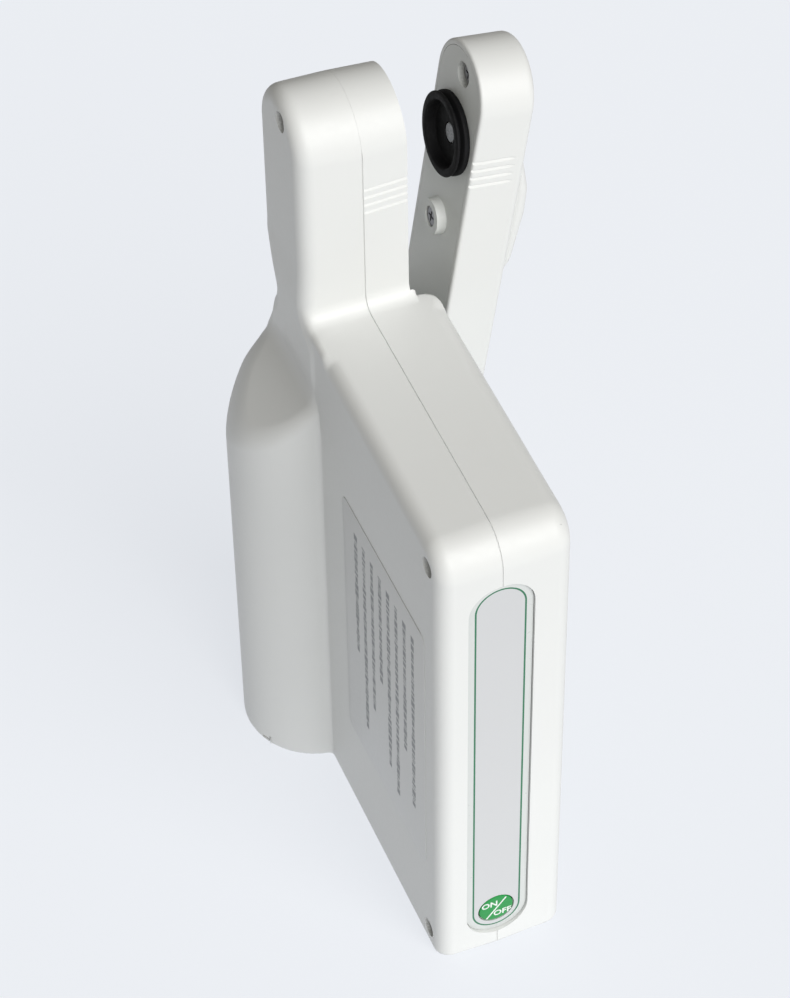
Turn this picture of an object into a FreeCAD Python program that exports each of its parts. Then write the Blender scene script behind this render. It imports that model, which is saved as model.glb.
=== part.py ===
import FreeCAD, Part
import Sketcher, PartDesign
import math
import os

V = FreeCAD.Vector
doc = FreeCAD.newDocument("chlorophyll_meter")

# ---------------------------------------------------------------- driving sizes, mm
# X: thickness (seam plane at 0, back face negative), Y: depth, Z: up. Origin on the base.
SIZES = {
    # housing outline on the seam plane
    "front_face": 43.5, "far_wide": 45.0, "far_flat": 43.3, "waist_wide": 35.6, "waist_flat": 34.4,
    "far_arm": 40.0, "arm_front": 19.4, "thick_end": 19.1,
    "top_front": 115.55, "top_arm": 117.6, "hip_z": 98.5, "waist_z": 114.0, "kink_z": 125.5,
    "arm_centre_z": 153.7, "arm_centre_y": 29.7,
    "corner_round": 7.3, "root_round": 3.0, "waist_round": 5.0, "kink_round": 2.0,
    "back_depth": 12.1, "mate_depth": 8.7, "front_depth": 14.2, "draft": 2.0, "edge_round": 3.0,
    # hollows
    "in_front": 40.8, "in_far": 41.3, "in_hip_z": 97.6, "in_waist": 32.4, "in_arm_far": 38.0, "in_arm_near": 21.4,
    "in_top_front": 113.4, "in_top_arm": 115.4, "in_floor": 2.2, "back_hollow": 10.1, "arm_hollow": 6.7,
    "thick_hollow": 12.2, "in_thick_end": 17.1,
    # battery grip
    "grip_chord": 11.0, "grip_x": 9.85, "grip_y": 28.35, "grip_near": 13.314, "grip_far": 43.386,
    "grip_bore": 13.1, "grip_hollow_top": 86.0, "slope_low_z": 72.5, "slope_high_z": 101.6,
    # membrane strip on the narrow side
    "strip_half": 6.44, "strip_low_z": 10.4, "strip_high_z": 98.7, "strip_floor": 42.25,
    # clamp arm (drawn closed, then swung open about its pin)
    "swing": 8.27, "pin_x": 6.5, "pin_z": 73.0, "clamp_in": 11.0, "clamp_thick": 10.86,
    "clamp_near": 19.75, "clamp_far": 38.85, "clamp_mid": 29.3, "clamp_top_z": 155.05, "clamp_foot_z": 66.5,
    "cup_z": 145.75, "boss_z": 126.5, "head_screw_z": 159.2,
    "groove_one": 140.4, "groove_pitch": 1.76, "groove_half": 0.42, "groove_depth": 0.32,
    # screws
    "screw_well": 2.0, "cover_well_round": 2.4, "screw_head": 1.8, "screw_pass": 1.4, "screw_shank": 1.1, "screw_pilot": 1.15,
    # keys
    "key_half": 2.0, "key_round": 4.0,
}
sheet = doc.addObject("Spreadsheet::Sheet", "sizes")
for row, (alias, number) in enumerate(SIZES.items(), start=1):
    sheet.set("A%d" % row, alias)
    sheet.set("B%d" % row, "%.6g" % number)
    sheet.setAlias("B%d" % row, alias)
doc.recompute()


def num(value):
    """a size by alias ("-alias" for its negative) or a plain number"""
    if isinstance(value, str):
        return -SIZES[value[1:]] if value.startswith("-") else SIZES[value]
    return float(value)


def tie(obj, prop, value):
    """bind a property to the sheet"""
    if isinstance(value, str):
        name = value[1:] if value.startswith("-") else value
        obj.setExpression(prop, ("-" if value.startswith("-") else "") + "sizes." + name)


def plane(body, role):
    return [f for f in body.Origin.OriginFeatures if f.Role == role][0]


def new_body(label):
    b = doc.addObject("PartDesign::Body", "body_" + label)
    b.Label = label
    return b


def new_sketch(body, name, role, offset=0.0, rotate=None):
    s = body.newObject("Sketcher::SketchObject", name)
    s.AttachmentSupport = [(plane(body, role), "")]
    s.MapMode = "FlatFace"
    s.AttachmentOffset = FreeCAD.Placement(V(0, 0, num(offset)), FreeCAD.Rotation())
    if isinstance(offset, str):
        tie(s, "AttachmentOffset.Base.z", offset)
    return s


def pin_one(s, geo, pos, kind, value):
    n = num(value)
    if abs(n) < 1e-9:
        s.addConstraint(Sketcher.Constraint("PointOnObject", geo, pos, -2 if kind == "DistanceX" else -1))
        return
    if n > 0:
        i = s.addConstraint(Sketcher.Constraint(kind, -1, 1, geo, pos, n))
        sign = value
    else:
        i = s.addConstraint(Sketcher.Constraint(kind, geo, pos, -1, 1, -n))
        sign = (value[1:] if value.startswith("-") else "-" + value) if isinstance(value, str) else value
    if isinstance(sign, str):
        tie(s, "Constraints[%d]" % i, sign)


def pin_point(s, geo, pos, x, y):
    pin_one(s, geo, pos, "DistanceX", x)
    pin_one(s, geo, pos, "DistanceY", y)


def outline(s, steps, close=True):
    """closed outline: steps are ("p", x, y) corners or ("arc", cx, cy, ccw) between corners"""
    corners = [(k, st) for k, st in enumerate(steps) if st[0] == "p"]
    first = len(s.Geometry)
    n = len(corners)
    geos = []
    for a in range(n):
        ka, pa = corners[a]
        kb, pb = corners[(a + 1) % n]
        between = steps[ka + 1] if ka + 1 < len(steps) and steps[ka + 1][0] == "arc" else None
        xa, ya, xb, yb = num(pa[1]), num(pa[2]), num(pb[1]), num(pb[2])
        if between is None:
            g = s.addGeometry(Part.LineSegment(V(xa, ya, 0), V(xb, yb, 0)), False)
            geos.append((g, 1, 2, None))
        else:
            cx, cy, ccw = num(between[1]), num(between[2]), between[3]
            r = math.hypot(xa - cx, ya - cy)
            a0, a1 = math.atan2(ya - cy, xa - cx), math.atan2(yb - cy, xb - cx)
            if not ccw:
                a0, a1 = a1, a0
            if a1 <= a0:
                a1 += 2 * math.pi
            g = s.addGeometry(Part.ArcOfCircle(Part.Circle(V(cx, cy, 0), V(0, 0, 1), r), a0, a1), False)
            geos.append((g, 1 if ccw else 2, 2 if ccw else 1, between))
    for a in range(n):
        g, st, en, _ = geos[a]
        g2, st2, _, _ = geos[(a + 1) % n]
        s.addConstraint(Sketcher.Constraint("Coincident", g, en, g2, st2))
    for a in range(n):
        _, pa = corners[a]
        g, st, en, between = geos[a]
        pin_point(s, g, st, pa[1], pa[2])
        if between is not None:
            # the centre's coordinate across the chord fixes the arc
            _, pb = corners[(a + 1) % n]
            flat = abs(num(pa[1]) - num(pb[1])) >= abs(num(pa[2]) - num(pb[2]))
            pin_one(s, g, 3, "DistanceY" if flat else "DistanceX", between[2] if flat else between[1])


def circle(s, x, y, r):
    g = s.addGeometry(Part.Circle(V(num(x), num(y), 0), V(0, 0, 1), num(r)), False)
    pin_point(s, g, 3, x, y)
    i = s.addConstraint(Sketcher.Constraint("Radius", g, num(r)))
    tie(s, "Constraints[%d]" % i, r)


def pad(body, sketch, name, length, reverse=False, taper=None, cut=False, mid=False):
    f = body.newObject("PartDesign::Pocket" if cut else "PartDesign::Pad", name)
    f.Profile = sketch
    f.Length = num(length)
    tie(f, "Length", length)
    f.Reversed = reverse
    if mid:
        f.Midplane = True
    if taper is not None:
        f.TaperAngle = num(taper)
        tie(f, "TaperAngle", taper)
    sketch.Visibility = False
    body.Tip = f
    return f


def edges_where(shape, test):
    out = []
    for i, e in enumerate(shape.Edges, start=1):
        if test(e):
            out.append("Edge%d" % i)
    return out


def round_edges(body, base, name, radius, names, kind="PartDesign::Fillet"):
    f = body.newObject(kind, name)
    f.Base = (base, names)
    if kind == "PartDesign::Fillet":
        f.Radius = num(radius)
        tie(f, "Radius", radius)
    else:
        f.Size = num(radius)
        tie(f, "Size", radius)
    body.Tip = f
    return f




def capsule(s, x0, y0, x1, y1, r):
    """slot outline between two centres, level or upright"""
    x0, y0, x1, y1, r = num(x0), num(y0), num(x1), num(y1), num(r)
    if abs(y1 - y0) < 1e-9:
        outline(s, [("p", x0, y0 - r), ("p", x1, y0 - r), ("arc", x1, y0, True), ("p", x1, y0 + r), ("p", x0, y0 + r), ("arc", x0, y0, True)])
    else:
        outline(s, [("p", x0 + r, y0), ("p", x0 + r, y1), ("arc", x0, y1, True), ("p", x0 - r, y1), ("p", x0 - r, y0), ("arc", x0, y0, True)])


def sits(box, x=None, y=None, z=None, tol=0.7):
    for want, lo, hi in ((x, box.XMin, box.XMax), (y, box.YMin, box.YMax), (z, box.ZMin, box.ZMax)):
        if want is not None and (abs(lo - want) > tol or abs(hi - want) > tol):
            return False
    return True


def fillet_if(body, base, name, radius, test):
    """round the edges that pass the test; keep the base where the round can't be built"""
    names = edges_where(base.Shape, test)
    if not names:
        print("no edge for", name)
        return base
    f = round_edges(body, base, name, radius, names)
    doc.recompute()
    if "Invalid" in f.State or "Error" in f.State or f.Shape.isNull() or not f.Shape.isValid():
        print("round left out:", name)
        body.removeObject(f)
        doc.removeObject(f.Name)
        body.Tip = base
        doc.recompute()
        return base
    return f


next_row = [len(SIZES) + 1]


def cell(alias, number):
    if alias not in SIZES:
        SIZES[alias] = float(number)
        sheet.set("A%d" % next_row[0], alias)
        sheet.set("B%d" % next_row[0], "%.6g" % number)
        sheet.setAlias("B%d" % next_row[0], alias)
        next_row[0] += 1
    return alias


def block(name, x, y, z):
    """box from low to high corner, bound to the sheet"""
    b = doc.addObject("Part::Box", name)
    for axis, prop, (lo, hi) in (("x", "Length", x), ("y", "Width", y), ("z", "Height", z)):
        a = cell("%s_%slow" % (name, axis), lo)
        c = cell("%s_%shigh" % (name, axis), hi)
        setattr(b, prop, hi - lo)
        b.setExpression(prop, "sizes.%s - sizes.%s" % (c, a))
        b.setExpression("Placement.Base." + axis, "sizes." + a)
    return b


def rod(name, axis, at, span, r, r2=None):
    """cylinder or cone along an axis: at = the other two coordinates"""
    kind = "Part::Cylinder" if r2 is None else "Part::Cone"
    c = doc.addObject(kind, name)
    lo, hi = span
    a, b = cell(name + "_low", lo), cell(name + "_high", hi)
    c.Height = hi - lo
    c.setExpression("Height", "sizes.%s - sizes.%s" % (b, a))
    if r2 is None:
        c.Radius = r
        c.setExpression("Radius", "sizes." + cell(name + "_round", r))
    else:
        c.Radius1, c.Radius2 = r, r2
        c.setExpression("Radius1", "sizes." + cell(name + "_rlow", r))
        c.setExpression("Radius2", "sizes." + cell(name + "_rhigh", r2))
    if axis == "X":
        c.Placement = FreeCAD.Placement(V(lo, at[0], at[1]), FreeCAD.Rotation(V(0, 1, 0), 90))
    elif axis == "Y":
        c.Placement = FreeCAD.Placement(V(at[0], lo, at[1]), FreeCAD.Rotation(V(1, 0, 0), -90))
    else:
        c.Placement = FreeCAD.Placement(V(at[0], at[1], lo), FreeCAD.Rotation())
    order = {"X": ("x", "y", "z"), "Y": ("y", "x", "z"), "Z": ("z", "x", "y")}[axis]
    c.setExpression("Placement.Base." + order[0], "sizes." + a)
    for k in (0, 1):
        c.setExpression("Placement.Base." + order[k + 1], "sizes." + cell(name + ("_ca", "_cb")[k], at[k]))
    return c


def join(name, parts):
    f = doc.addObject("Part::MultiFuse", name)
    f.Shapes = parts
    return f


def less(name, base, tool):
    c = doc.addObject("Part::Cut", name)
    c.Base, c.Tool = base, tool
    return c


def group(name, parts):
    c = doc.addObject("Part::Compound", name)
    c.Links = parts
    return c


NODES = []


def node(obj, label):
    obj.Label = label
    NODES.append(obj)
    return obj


SWING = FreeCAD.Placement(V(0, 0, 0), FreeCAD.Rotation(V(0, 1, 0), SIZES["swing"]), V(SIZES["pin_x"], 0, SIZES["pin_z"]))


def clamp_node(obj, label):
    """a piece of the clamp arm: drawn in the closed position, swung open about the pin"""
    obj.Placement = SWING.multiply(obj.Placement)
    return node(obj, label)


WELLS = {"top": (-38.0, 109.8), "low": (-37.8, 4.4), "arm": (27.8, 159.2), "mid": (-0.5, 67.8), "keel": (-0.5, 27.0)}
KEYS = {"key_up": (-23.2, 58.0), "key_down": (-23.2, 38.0), "key_back": (-1.2, 58.0), "key_enter": (-1.2, 38.0)}
POSTS = {"a": (-35.0, 18.0), "b": (12.5, 18.0), "c": (-36.5, 103.5), "d": (12.8, 103.5)}

# ================================================================ back half of the housing
back = new_body("back_shell")
sk = new_sketch(back, "grip_section", "XY_Plane", -1.0)
outline(sk, [("p", "-grip_chord", "grip_near"), ("p", "-grip_chord", "grip_far"), ("arc", "-grip_x", "grip_y", True)])
pad(back, sk, "grip_pad", 105.0)
sk = new_sketch(back, "shoulder_slope", "XZ_Plane")
outline(sk, [("p", -40.0, "slope_low_z"), ("p", "-back_depth", "slope_high_z"), ("p", -5.0, 108.9), ("p", -5.0, 120.0), ("p", -40.0, 120.0)])
pad(back, sk, "shoulder_cut", 200.0, cut=True, mid=True)


def side_outline(body, name):
    sk = new_sketch(body, name, "YZ_Plane")
    outline(sk, [
        ("p", "-front_face", -1.5), ("p", "far_wide", -1.5), ("p", "far_wide", 99.0), ("p", "waist_wide", "waist_z"),
        ("p", "far_arm", "kink_z"), ("p", "far_arm", "arm_centre_z"), ("arc", "arm_centre_y", "arm_centre_z", True),
        ("p", "arm_front", "arm_centre_z"), ("p", "arm_front", "top_arm"), ("p", "-front_face", "top_front")])
    return sk


def trim_far(body, name):
    """flat base and flat far side, hip and waist"""
    sk = new_sketch(body, name, "YZ_Plane")
    outline(sk, [("p", -60.0, 0.0), ("p", "far_flat", 0.0), ("p", "far_flat", "hip_z"), ("p", "waist_flat", "waist_z"),
                 ("p", 41.0, 128.0), ("p", 60.0, 128.0), ("p", 60.0, -10.0), ("p", -60.0, -10.0)])
    return pad(body, sk, name + "_cut", 200.0, cut=True, mid=True)


def inner_outline(body, name):
    sk = new_sketch(body, name, "YZ_Plane")
    outline(sk, [
        ("p", "-in_front", "in_floor"), ("p", "in_far", "in_floor"), ("p", "in_far", "in_hip_z"), ("p", "in_waist", 112.6),
        ("p", "in_arm_far", 125.6), ("p", "in_arm_far", "arm_centre_z"), ("arc", "arm_centre_y", "arm_centre_z", True),
        ("p", "in_arm_near", "arm_centre_z"), ("p", "in_arm_near", "in_top_arm"), ("p", "-in_front", "in_top_front")])
    return sk


sk = side_outline(back, "back_side")
pad(back, sk, "back_pad", "back_depth", reverse=True, taper="-draft")
tip = trim_far(back, "back_trim")
doc.recompute()
tip = fillet_if(back, tip, "back_corner", "corner_round", lambda e: sits(e.BoundBox, y=-43.3, z=115.4))
tip = fillet_if(back, tip, "back_root", "root_round", lambda e: sits(e.BoundBox, y=19.6, z=117.4))
tip = fillet_if(back, tip, "back_waist", "waist_round", lambda e: sits(e.BoundBox, y=34.4, z=114.0))
tip = fillet_if(back, tip, "back_kink", "kink_round", lambda e: sits(e.BoundBox, y=40.0, z=125.9) and e.BoundBox.XMax - e.BoundBox.XMin > 3)


def back_rim(e):
    b = e.BoundBox
    flat = abs(b.XMin + SIZES["back_depth"]) < 0.01 and abs(b.XMax + SIZES["back_depth"]) < 0.01
    near = b.YMax < 20.5 and b.ZMin > 1.0 and not (abs(b.YMin - b.YMax) < 0.1 and b.YMin > 5 and b.ZMax < 102)
    return flat and (near and b.YMin < 12.9 or b.ZMin > 116 and b.ZMax > 119)


tip = fillet_if(back, tip, "back_edge", "edge_round", back_rim)
sk = inner_outline(back, "back_inner")
pad(back, sk, "back_hollow", "back_hollow", cut=True, reverse=False)
sk = new_sketch(back, "grip_bore_section", "XY_Plane", "in_floor")
circle(sk, "-grip_x", "grip_y", "grip_bore")
pad(back, sk, "grip_bore_cut", 83.8, cut=True, reverse=True)


def rect(s, x0, y0, x1, y1):
    outline(s, [("p", x0, y0), ("p", x1, y0), ("p", x1, y1), ("p", x0, y1)])


def soft_rect(s, x0, y0, x1, y1, r):
    x0, y0, x1, y1, r = num(x0), num(y0), num(x1), num(y1), num(r)
    outline(s, [("p", x0 + r, y0), ("p", x1 - r, y0), ("arc", x1 - r, y0 + r, True), ("p", x1, y0 + r),
                ("p", x1, y1 - r), ("arc", x1 - r, y1 - r, True), ("p", x1 - r, y1),
                ("p", x0 + r, y1), ("arc", x0 + r, y1 - r, True), ("p", x0, y1 - r),
                ("p", x0, y0 + r), ("arc", x0 + r, y0 + r, True)])


def circles(body, name, offset, places, r, role="YZ_Plane"):
    sk = new_sketch(body, name, role, offset)
    for x, y in places:
        circle(sk, x, y, r)
    return sk


def strip_cuts(body, tag):
    """recess for the membrane strip and the hole of the power key, on the narrow side"""
    sk = new_sketch(body, tag + "_strip_recess", "XZ_Plane", "strip_floor")
    capsule(sk, 0.0, "strip_low_z", 0.0, "strip_high_z", "strip_half")
    pad(body, sk, tag + "_strip_cut", 5.0, cut=True, reverse=True)
    sk = circles(body, tag + "_power_hole", 44.0, [(0.0, 10.5)], 3.75, "XZ_Plane")
    pad(body, sk, tag + "_power_cut", 4.1, cut=True)


def door_cuts(body, tag):
    """bay mouth in the base and the grooves of the door's side tongues"""
    sk = new_sketch(body, tag + "_door_mouth", "XY_Plane", -1.0)
    rect(sk, -23.05, 20.65, 6.55, 60.0)
    pad(body, sk, tag + "_door_mouth_cut", 3.3, cut=True, reverse=True)
    sk = new_sketch(body, tag + "_door_groove", "XY_Plane", 0.7)
    rect(sk, -23.85, 20.65, 7.45, 60.0)
    pad(body, sk, tag + "_door_groove_cut", 0.8, cut=True, reverse=True)


# screw bosses, wells, strip recess and bay mouth of the back half
SMALL = [WELLS[k] for k in ("top", "low", "mid", "keel")]
sk = circles(back, "back_boss_section", 0.0, SMALL, 3.3)
pad(back, sk, "back_boss_pad", 10.6, reverse=True)
sk = circles(back, "back_arm_boss_section", 0.0, [WELLS["arm"]], 2.9)
pad(back, sk, "back_arm_boss_pad", 10.3, reverse=True)
sk = circles(back, "back_well_section", -7.5, list(WELLS.values()), "screw_well")
pad(back, sk, "back_well_cut", 10.0, cut=True)
sk = circles(back, "back_pass_section", 0.1, list(WELLS.values()), "screw_pass")
pad(back, sk, "back_pass_cut", 8.0, cut=True)
strip_cuts(back, "back")
door_cuts(back, "back")
node(back, "back_shell")

# ================================================================ front half of the housing
front = new_body("front_shell")
sk = side_outline(front, "front_side")
pad(front, sk, "front_pad", "front_depth", taper="-draft")
# the arm side is stepped down to the mating face
sk = new_sketch(front, "mate_step", "YZ_Plane", "mate_depth")
rect(sk, "thick_end", -10.0, 60.0, 200.0)
pad(front, sk, "mate_step_cut", 20.0, cut=True, reverse=True)
tip = trim_far(front, "front_trim")
doc.recompute()
tip = fillet_if(front, tip, "front_corner", "corner_round", lambda e: sits(e.BoundBox, y=-43.3, z=115.4))
tip = fillet_if(front, tip, "front_root", "root_round", lambda e: sits(e.BoundBox, y=19.6, z=117.4))
tip = fillet_if(front, tip, "front_waist", "waist_round", lambda e: sits(e.BoundBox, y=34.4, z=114.0))
tip = fillet_if(front, tip, "front_kink", "kink_round", lambda e: sits(e.BoundBox, y=40.0, z=125.9) and e.BoundBox.XMax - e.BoundBox.XMin > 3)
tip = fillet_if(front, tip, "front_edge", "edge_round", lambda e: sits(e.BoundBox, x=14.2, tol=0.01) and e.BoundBox.ZMax > 1.0)
sk = inner_outline(front, "front_inner")
pad(front, sk, "front_hollow", "arm_hollow", cut=True, reverse=True)
sk = new_sketch(front, "front_thick_inner", "YZ_Plane")
rect(sk, "-in_front", "in_floor", "in_thick_end", "in_top_front")
pad(front, sk, "front_thick_hollow", "thick_hollow", cut=True, reverse=True)
# hinge block with the knuckle pocket
sk = new_sketch(front, "hinge_block_section", "YZ_Plane", 0.8)
rect(sk, 16.6, 63.5, 42.0, 83.0)
pad(front, sk, "hinge_block_pad", 7.9)
sk = new_sketch(front, "knuckle_pocket_section", "YZ_Plane", 2.4)
rect(sk, 19.6, 66.0, 39.2, 80.0)
pad(front, sk, "knuckle_pocket_cut", 8.0, cut=True, reverse=True)
# screw bosses and board posts
sk = circles(front, "front_boss_section", 0.0, SMALL, 3.15)
pad(front, sk, "front_boss_pad", 12.3)
sk = circles(front, "front_arm_boss_section", 0.0, [WELLS["arm"]], 2.9)
pad(front, sk, "front_arm_boss_pad", 7.0)
sk = circles(front, "post_section", 4.8, list(POSTS.values()), 2.6)
pad(front, sk, "post_pad", 7.8)
sk = circles(front, "receiver_post_section", 3.2, [(24.8, 135.5), (34.0, 135.5)], 1.6)
pad(front, sk, "receiver_post_pad", 3.9)
sk = circles(front, "pilot_section", -0.1, SMALL, "screw_pilot")
pad(front, sk, "pilot_cut", 8.0, cut=True, reverse=True)
sk = circles(front, "arm_pilot_section", -0.1, [WELLS["arm"]], "screw_pilot")
pad(front, sk, "arm_pilot_cut", 5.6, cut=True, reverse=True)
sk = circles(front, "post_pilot_section", 4.7, list(POSTS.values()), 0.85)
pad(front, sk, "post_pilot_cut", 5.3, cut=True, reverse=True)
# face recess, display opening, key holes
sk = new_sketch(front, "overlay_recess", "YZ_Plane", 13.7)
soft_rect(sk, -38.2, 12.0, 13.8, 106.0, 3.0)
pad(front, sk, "overlay_recess_cut", 2.0, cut=True, reverse=True)
sk = new_sketch(front, "display_opening", "YZ_Plane", 11.0)
soft_rect(sk, -32.7, 72.0, 8.3, 96.0, 1.0)
pad(front, sk, "display_cut", 4.0, cut=True, reverse=True)
sk = new_sketch(front, "key_holes", "YZ_Plane", 11.0)
for ky, kz in KEYS.values():
    capsule(sk, ky - 2.0, kz, ky + 2.0, kz, 4.2)
pad(front, sk, "key_holes_cut", 4.0, cut=True, reverse=True)
# fixed arm: receiver window, trigger hole, grip grooves on both sides
sk = circles(front, "receiver_hole", 6.0, [(29.3, "cup_z")], 3.05)
pad(front, sk, "receiver_hole_cut", 4.0, cut=True, reverse=True)
sk = circles(front, "trigger_hole", 6.0, [(29.3, "boss_z")], 1.8)
pad(front, sk, "trigger_hole_cut", 4.0, cut=True, reverse=True)
sk = new_sketch(front, "fixed_grooves", "YZ_Plane", -0.5)
for n in range(4):
    gz = SIZES["groove_one"] + n * SIZES["groove_pitch"]
    rect(sk, 18.4, gz - 0.42, 19.95, gz + 0.42)
    rect(sk, 39.45, gz - 0.42, 41.2, gz + 0.42)
pad(front, sk, "fixed_grooves_cut", 10.0, cut=True, reverse=True)
# bore of the hinge pin, blind at the near end and open on the far side
sk = circles(front, "pin_bore", -17.4, [("pin_x", "pin_z")], 1.03, "XZ_Plane")
pad(front, sk, "pin_bore_cut", 30.0, cut=True)
strip_cuts(front, "front")
door_cuts(front, "front")
node(front, "front_shell")
doc.recompute()


# ================================================================ fasteners of the housing
def screw(name, at, head_out, head_in, head_r, shank_end, shank_r):
    """pan-head screw along X with a cross recess; the head faces -X when head_out < head_in"""
    head = rod(name + "_head", "X", at, (min(head_out, head_in), max(head_out, head_in)), head_r)
    shank = rod(name + "_shank", "X", at, (min(head_in, shank_end), max(head_in, shank_end)), shank_r)
    solid = join(name + "_solid", [head, shank])
    deep = 0.45 if head_out < head_in else -0.45
    span = (min(head_out - deep, head_out + deep), max(head_out - deep, head_out + deep))
    arm = head_r * 0.62
    slot_a = block(name + "_slot_a", span, (at[0] - arm, at[0] + arm), (at[1] - 0.2, at[1] + 0.2))
    slot_b = block(name + "_slot_b", span, (at[0] - 0.2, at[0] + 0.2), (at[1] - arm, at[1] + arm))
    return less(name, solid, join(name + "_cross", [slot_a, slot_b]))


node(group("housing_screw_set", [screw("hs_" + k, at, -9.3, -7.5, 1.8, 4.4, 1.1) for k, at in WELLS.items()]), "housing_screws")
node(group("board_screw_set", [screw("bs_" + k, at, 2.0, 3.2, 1.8, 9.0, 0.8) for k, at in POSTS.items()]), "board_screws")

# ================================================================ label, strip, power key
label = new_body("data_label")
sk = new_sketch(label, "label_outline", "YZ_Plane", "-back_depth")
soft_rect(sk, -36.6, 23.2, 2.4, 89.2, 1.8)
pad(label, sk, "label_pad", 0.15, reverse=True)
node(label, "data_label")

strip = new_body("side_strip")
sk = new_sketch(strip, "strip_outline", "XZ_Plane", "strip_floor")
capsule(sk, 0.0, "strip_low_z", 0.0, "strip_high_z", 6.36)
pad(strip, sk, "strip_pad", 0.5)
sk = circles(strip, "strip_key_hole", 44.0, [(0.0, 10.5)], 3.8, "XZ_Plane")
pad(strip, sk, "strip_key_cut", 5.0, cut=True)
node(strip, "side_strip")

key = new_body("power_key")
sk = circles(key, "power_disc", 40.6, [(0.0, 10.5)], 3.56, "XZ_Plane")
pad(key, sk, "power_disc_pad", 2.25)
sk = new_sketch(key, "power_tabs", "XZ_Plane", 40.1)
rect(sk, -5.0, 8.9, 5.0, 12.1)
pad(key, sk, "power_tabs_pad", 0.5)
sk = circles(key, "power_stem", 39.75, [(0.0, 10.5)], 1.2, "XZ_Plane")
pad(key, sk, "power_stem_pad", 0.4)
node(key, "power_key")

side_plate = block("side_plate", (-10.1, 2.6), (-38.3, -37.1), (8.9, 22.0))
node(side_plate, "side_board")
ps_base = block("ps_base", (-2.6, 2.6), (-39.0, -38.3), (9.0, 12.4))
ps_tip = rod("ps_tip", "Y", (0.0, 10.5), (-39.2, -38.9), 1.0)
node(join("power_switch_solid", [ps_base, ps_tip]), "power_switch")

# ================================================================ battery bay
door = new_body("battery_door")
sk = new_sketch(door, "door_outline", "XY_Plane", 0.15)
far_y = SIZES["grip_y"] + math.sqrt(15.0 ** 2 - (22.9 - SIZES["grip_x"]) ** 2)
outline(sk, [("p", -22.9, 20.8), ("p", 6.4, 20.8), ("p", 6.4, 43.2), ("p", -11.0, 43.2), ("p", -22.9, far_y)])
pad(door, sk, "door_pad", 1.85)
doc.recompute()
sk = new_sketch(door, "door_tongues", "XY_Plane", 0.8)
rect(sk, 6.2, 21.0, 7.3, 42.5)
rect(sk, -23.7, 23.0, -22.7, 34.0)
pad(door, sk, "door_tongue_pad", 0.6)
sk = new_sketch(door, "door_ridges", "XY_Plane", -0.5)
for n in range(5):
    rect(sk, -14.0, 34.4 + 1.5 * n, -2.0, 35.1 + 1.5 * n)
pad(door, sk, "door_ridge_cut", 1.0, cut=True, reverse=True)
node(door, "battery_door")

CELLS = {"aa_back": (-15.5, 28.35), "aa_front": (-0.8, 28.35)}
aa = []
for k, (cx, cy) in CELLS.items():
    can = rod(k + "_can", "Z", (cx, cy), (2.35, 51.65), 7.2)
    nub = rod(k + "_nub", "Z", (cx, cy), (51.55, 52.75), 2.7)
    aa.append(join(k, [can, nub]))
node(group("aa_cell_set", aa), "aa_cells")
# flat contact strip on the door, low enough to slide out through the bay mouth
bridge = block("bridge_plate", (-20.5, 4.2), (25.0, 31.7), (2.0, 2.27))
bridge_hole = rod("bridge_hole", "Z", (-8.15, 28.35), (1.0, 3.0), 1.5)
node(less("door_contact_solid", bridge, bridge_hole), "door_contact")
carrier = block("carrier_plate", (-19.7, 6.5), (21.2, 35.5), (58.6, 60.4))
node(carrier, "contact_carrier")


def coil(name, at, span, radius, wire, turns, axis="Z"):
    """coil spring: a wire section swept along a helix"""
    h = doc.addObject("Part::Helix", name + "_path")
    h.Pitch = (span[1] - span[0]) / turns
    h.Height = span[1] - span[0]
    h.Radius = radius
    h.setExpression("Radius", "sizes." + cell(name + "_mean", radius))
    h.setExpression("Height", "sizes.%s - sizes.%s" % (cell(name + "_high", span[1]), cell(name + "_low", span[0])))
    c = doc.addObject("Part::Circle", name + "_wire")
    c.Radius = wire
    c.setExpression("Radius", "sizes." + cell(name + "_wire", wire))
    c.Placement = FreeCAD.Placement(V(radius, 0, 0), FreeCAD.Rotation(V(1, 0, 0), 90))
    s = doc.addObject("Part::Sweep", name)
    s.Sections = [c]
    s.Spine = (h, [])
    s.Solid = True
    s.Frenet = True
    if axis == "Z":
        s.Placement = FreeCAD.Placement(V(at[0], at[1], span[0]), FreeCAD.Rotation())
    else:
        s.Placement = FreeCAD.Placement(V(at[0], span[0], at[1]), FreeCAD.Rotation(V(1, 0, 0), -90))
    return s


leaves = []
for k, (cx, cy) in CELLS.items():
    # bent leaf: a tab under the carrier, a sloping strip and a flat foot on the cell
    leaf = new_body(k + "_leaf")
    sk = new_sketch(leaf, k + "_leaf_side", "YZ_Plane", cx - 2.5)
    outline(sk, [("p", cy - 4.5, 58.6), ("p", cy - 4.5, 58.3), ("p", cy + 3.2, 58.3), ("p", cy - 1.6, 52.9), ("p", cy + 1.6, 52.9),
                 ("p", cy + 1.6, 53.2), ("p", cy - 0.9, 53.2), ("p", cy + 4.1, 58.6)])
    pad(leaf, sk, k + "_leaf_pad", 5.0)
    leaves.append(leaf)
node(group("battery_spring_set", leaves), "battery_springs")

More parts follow.
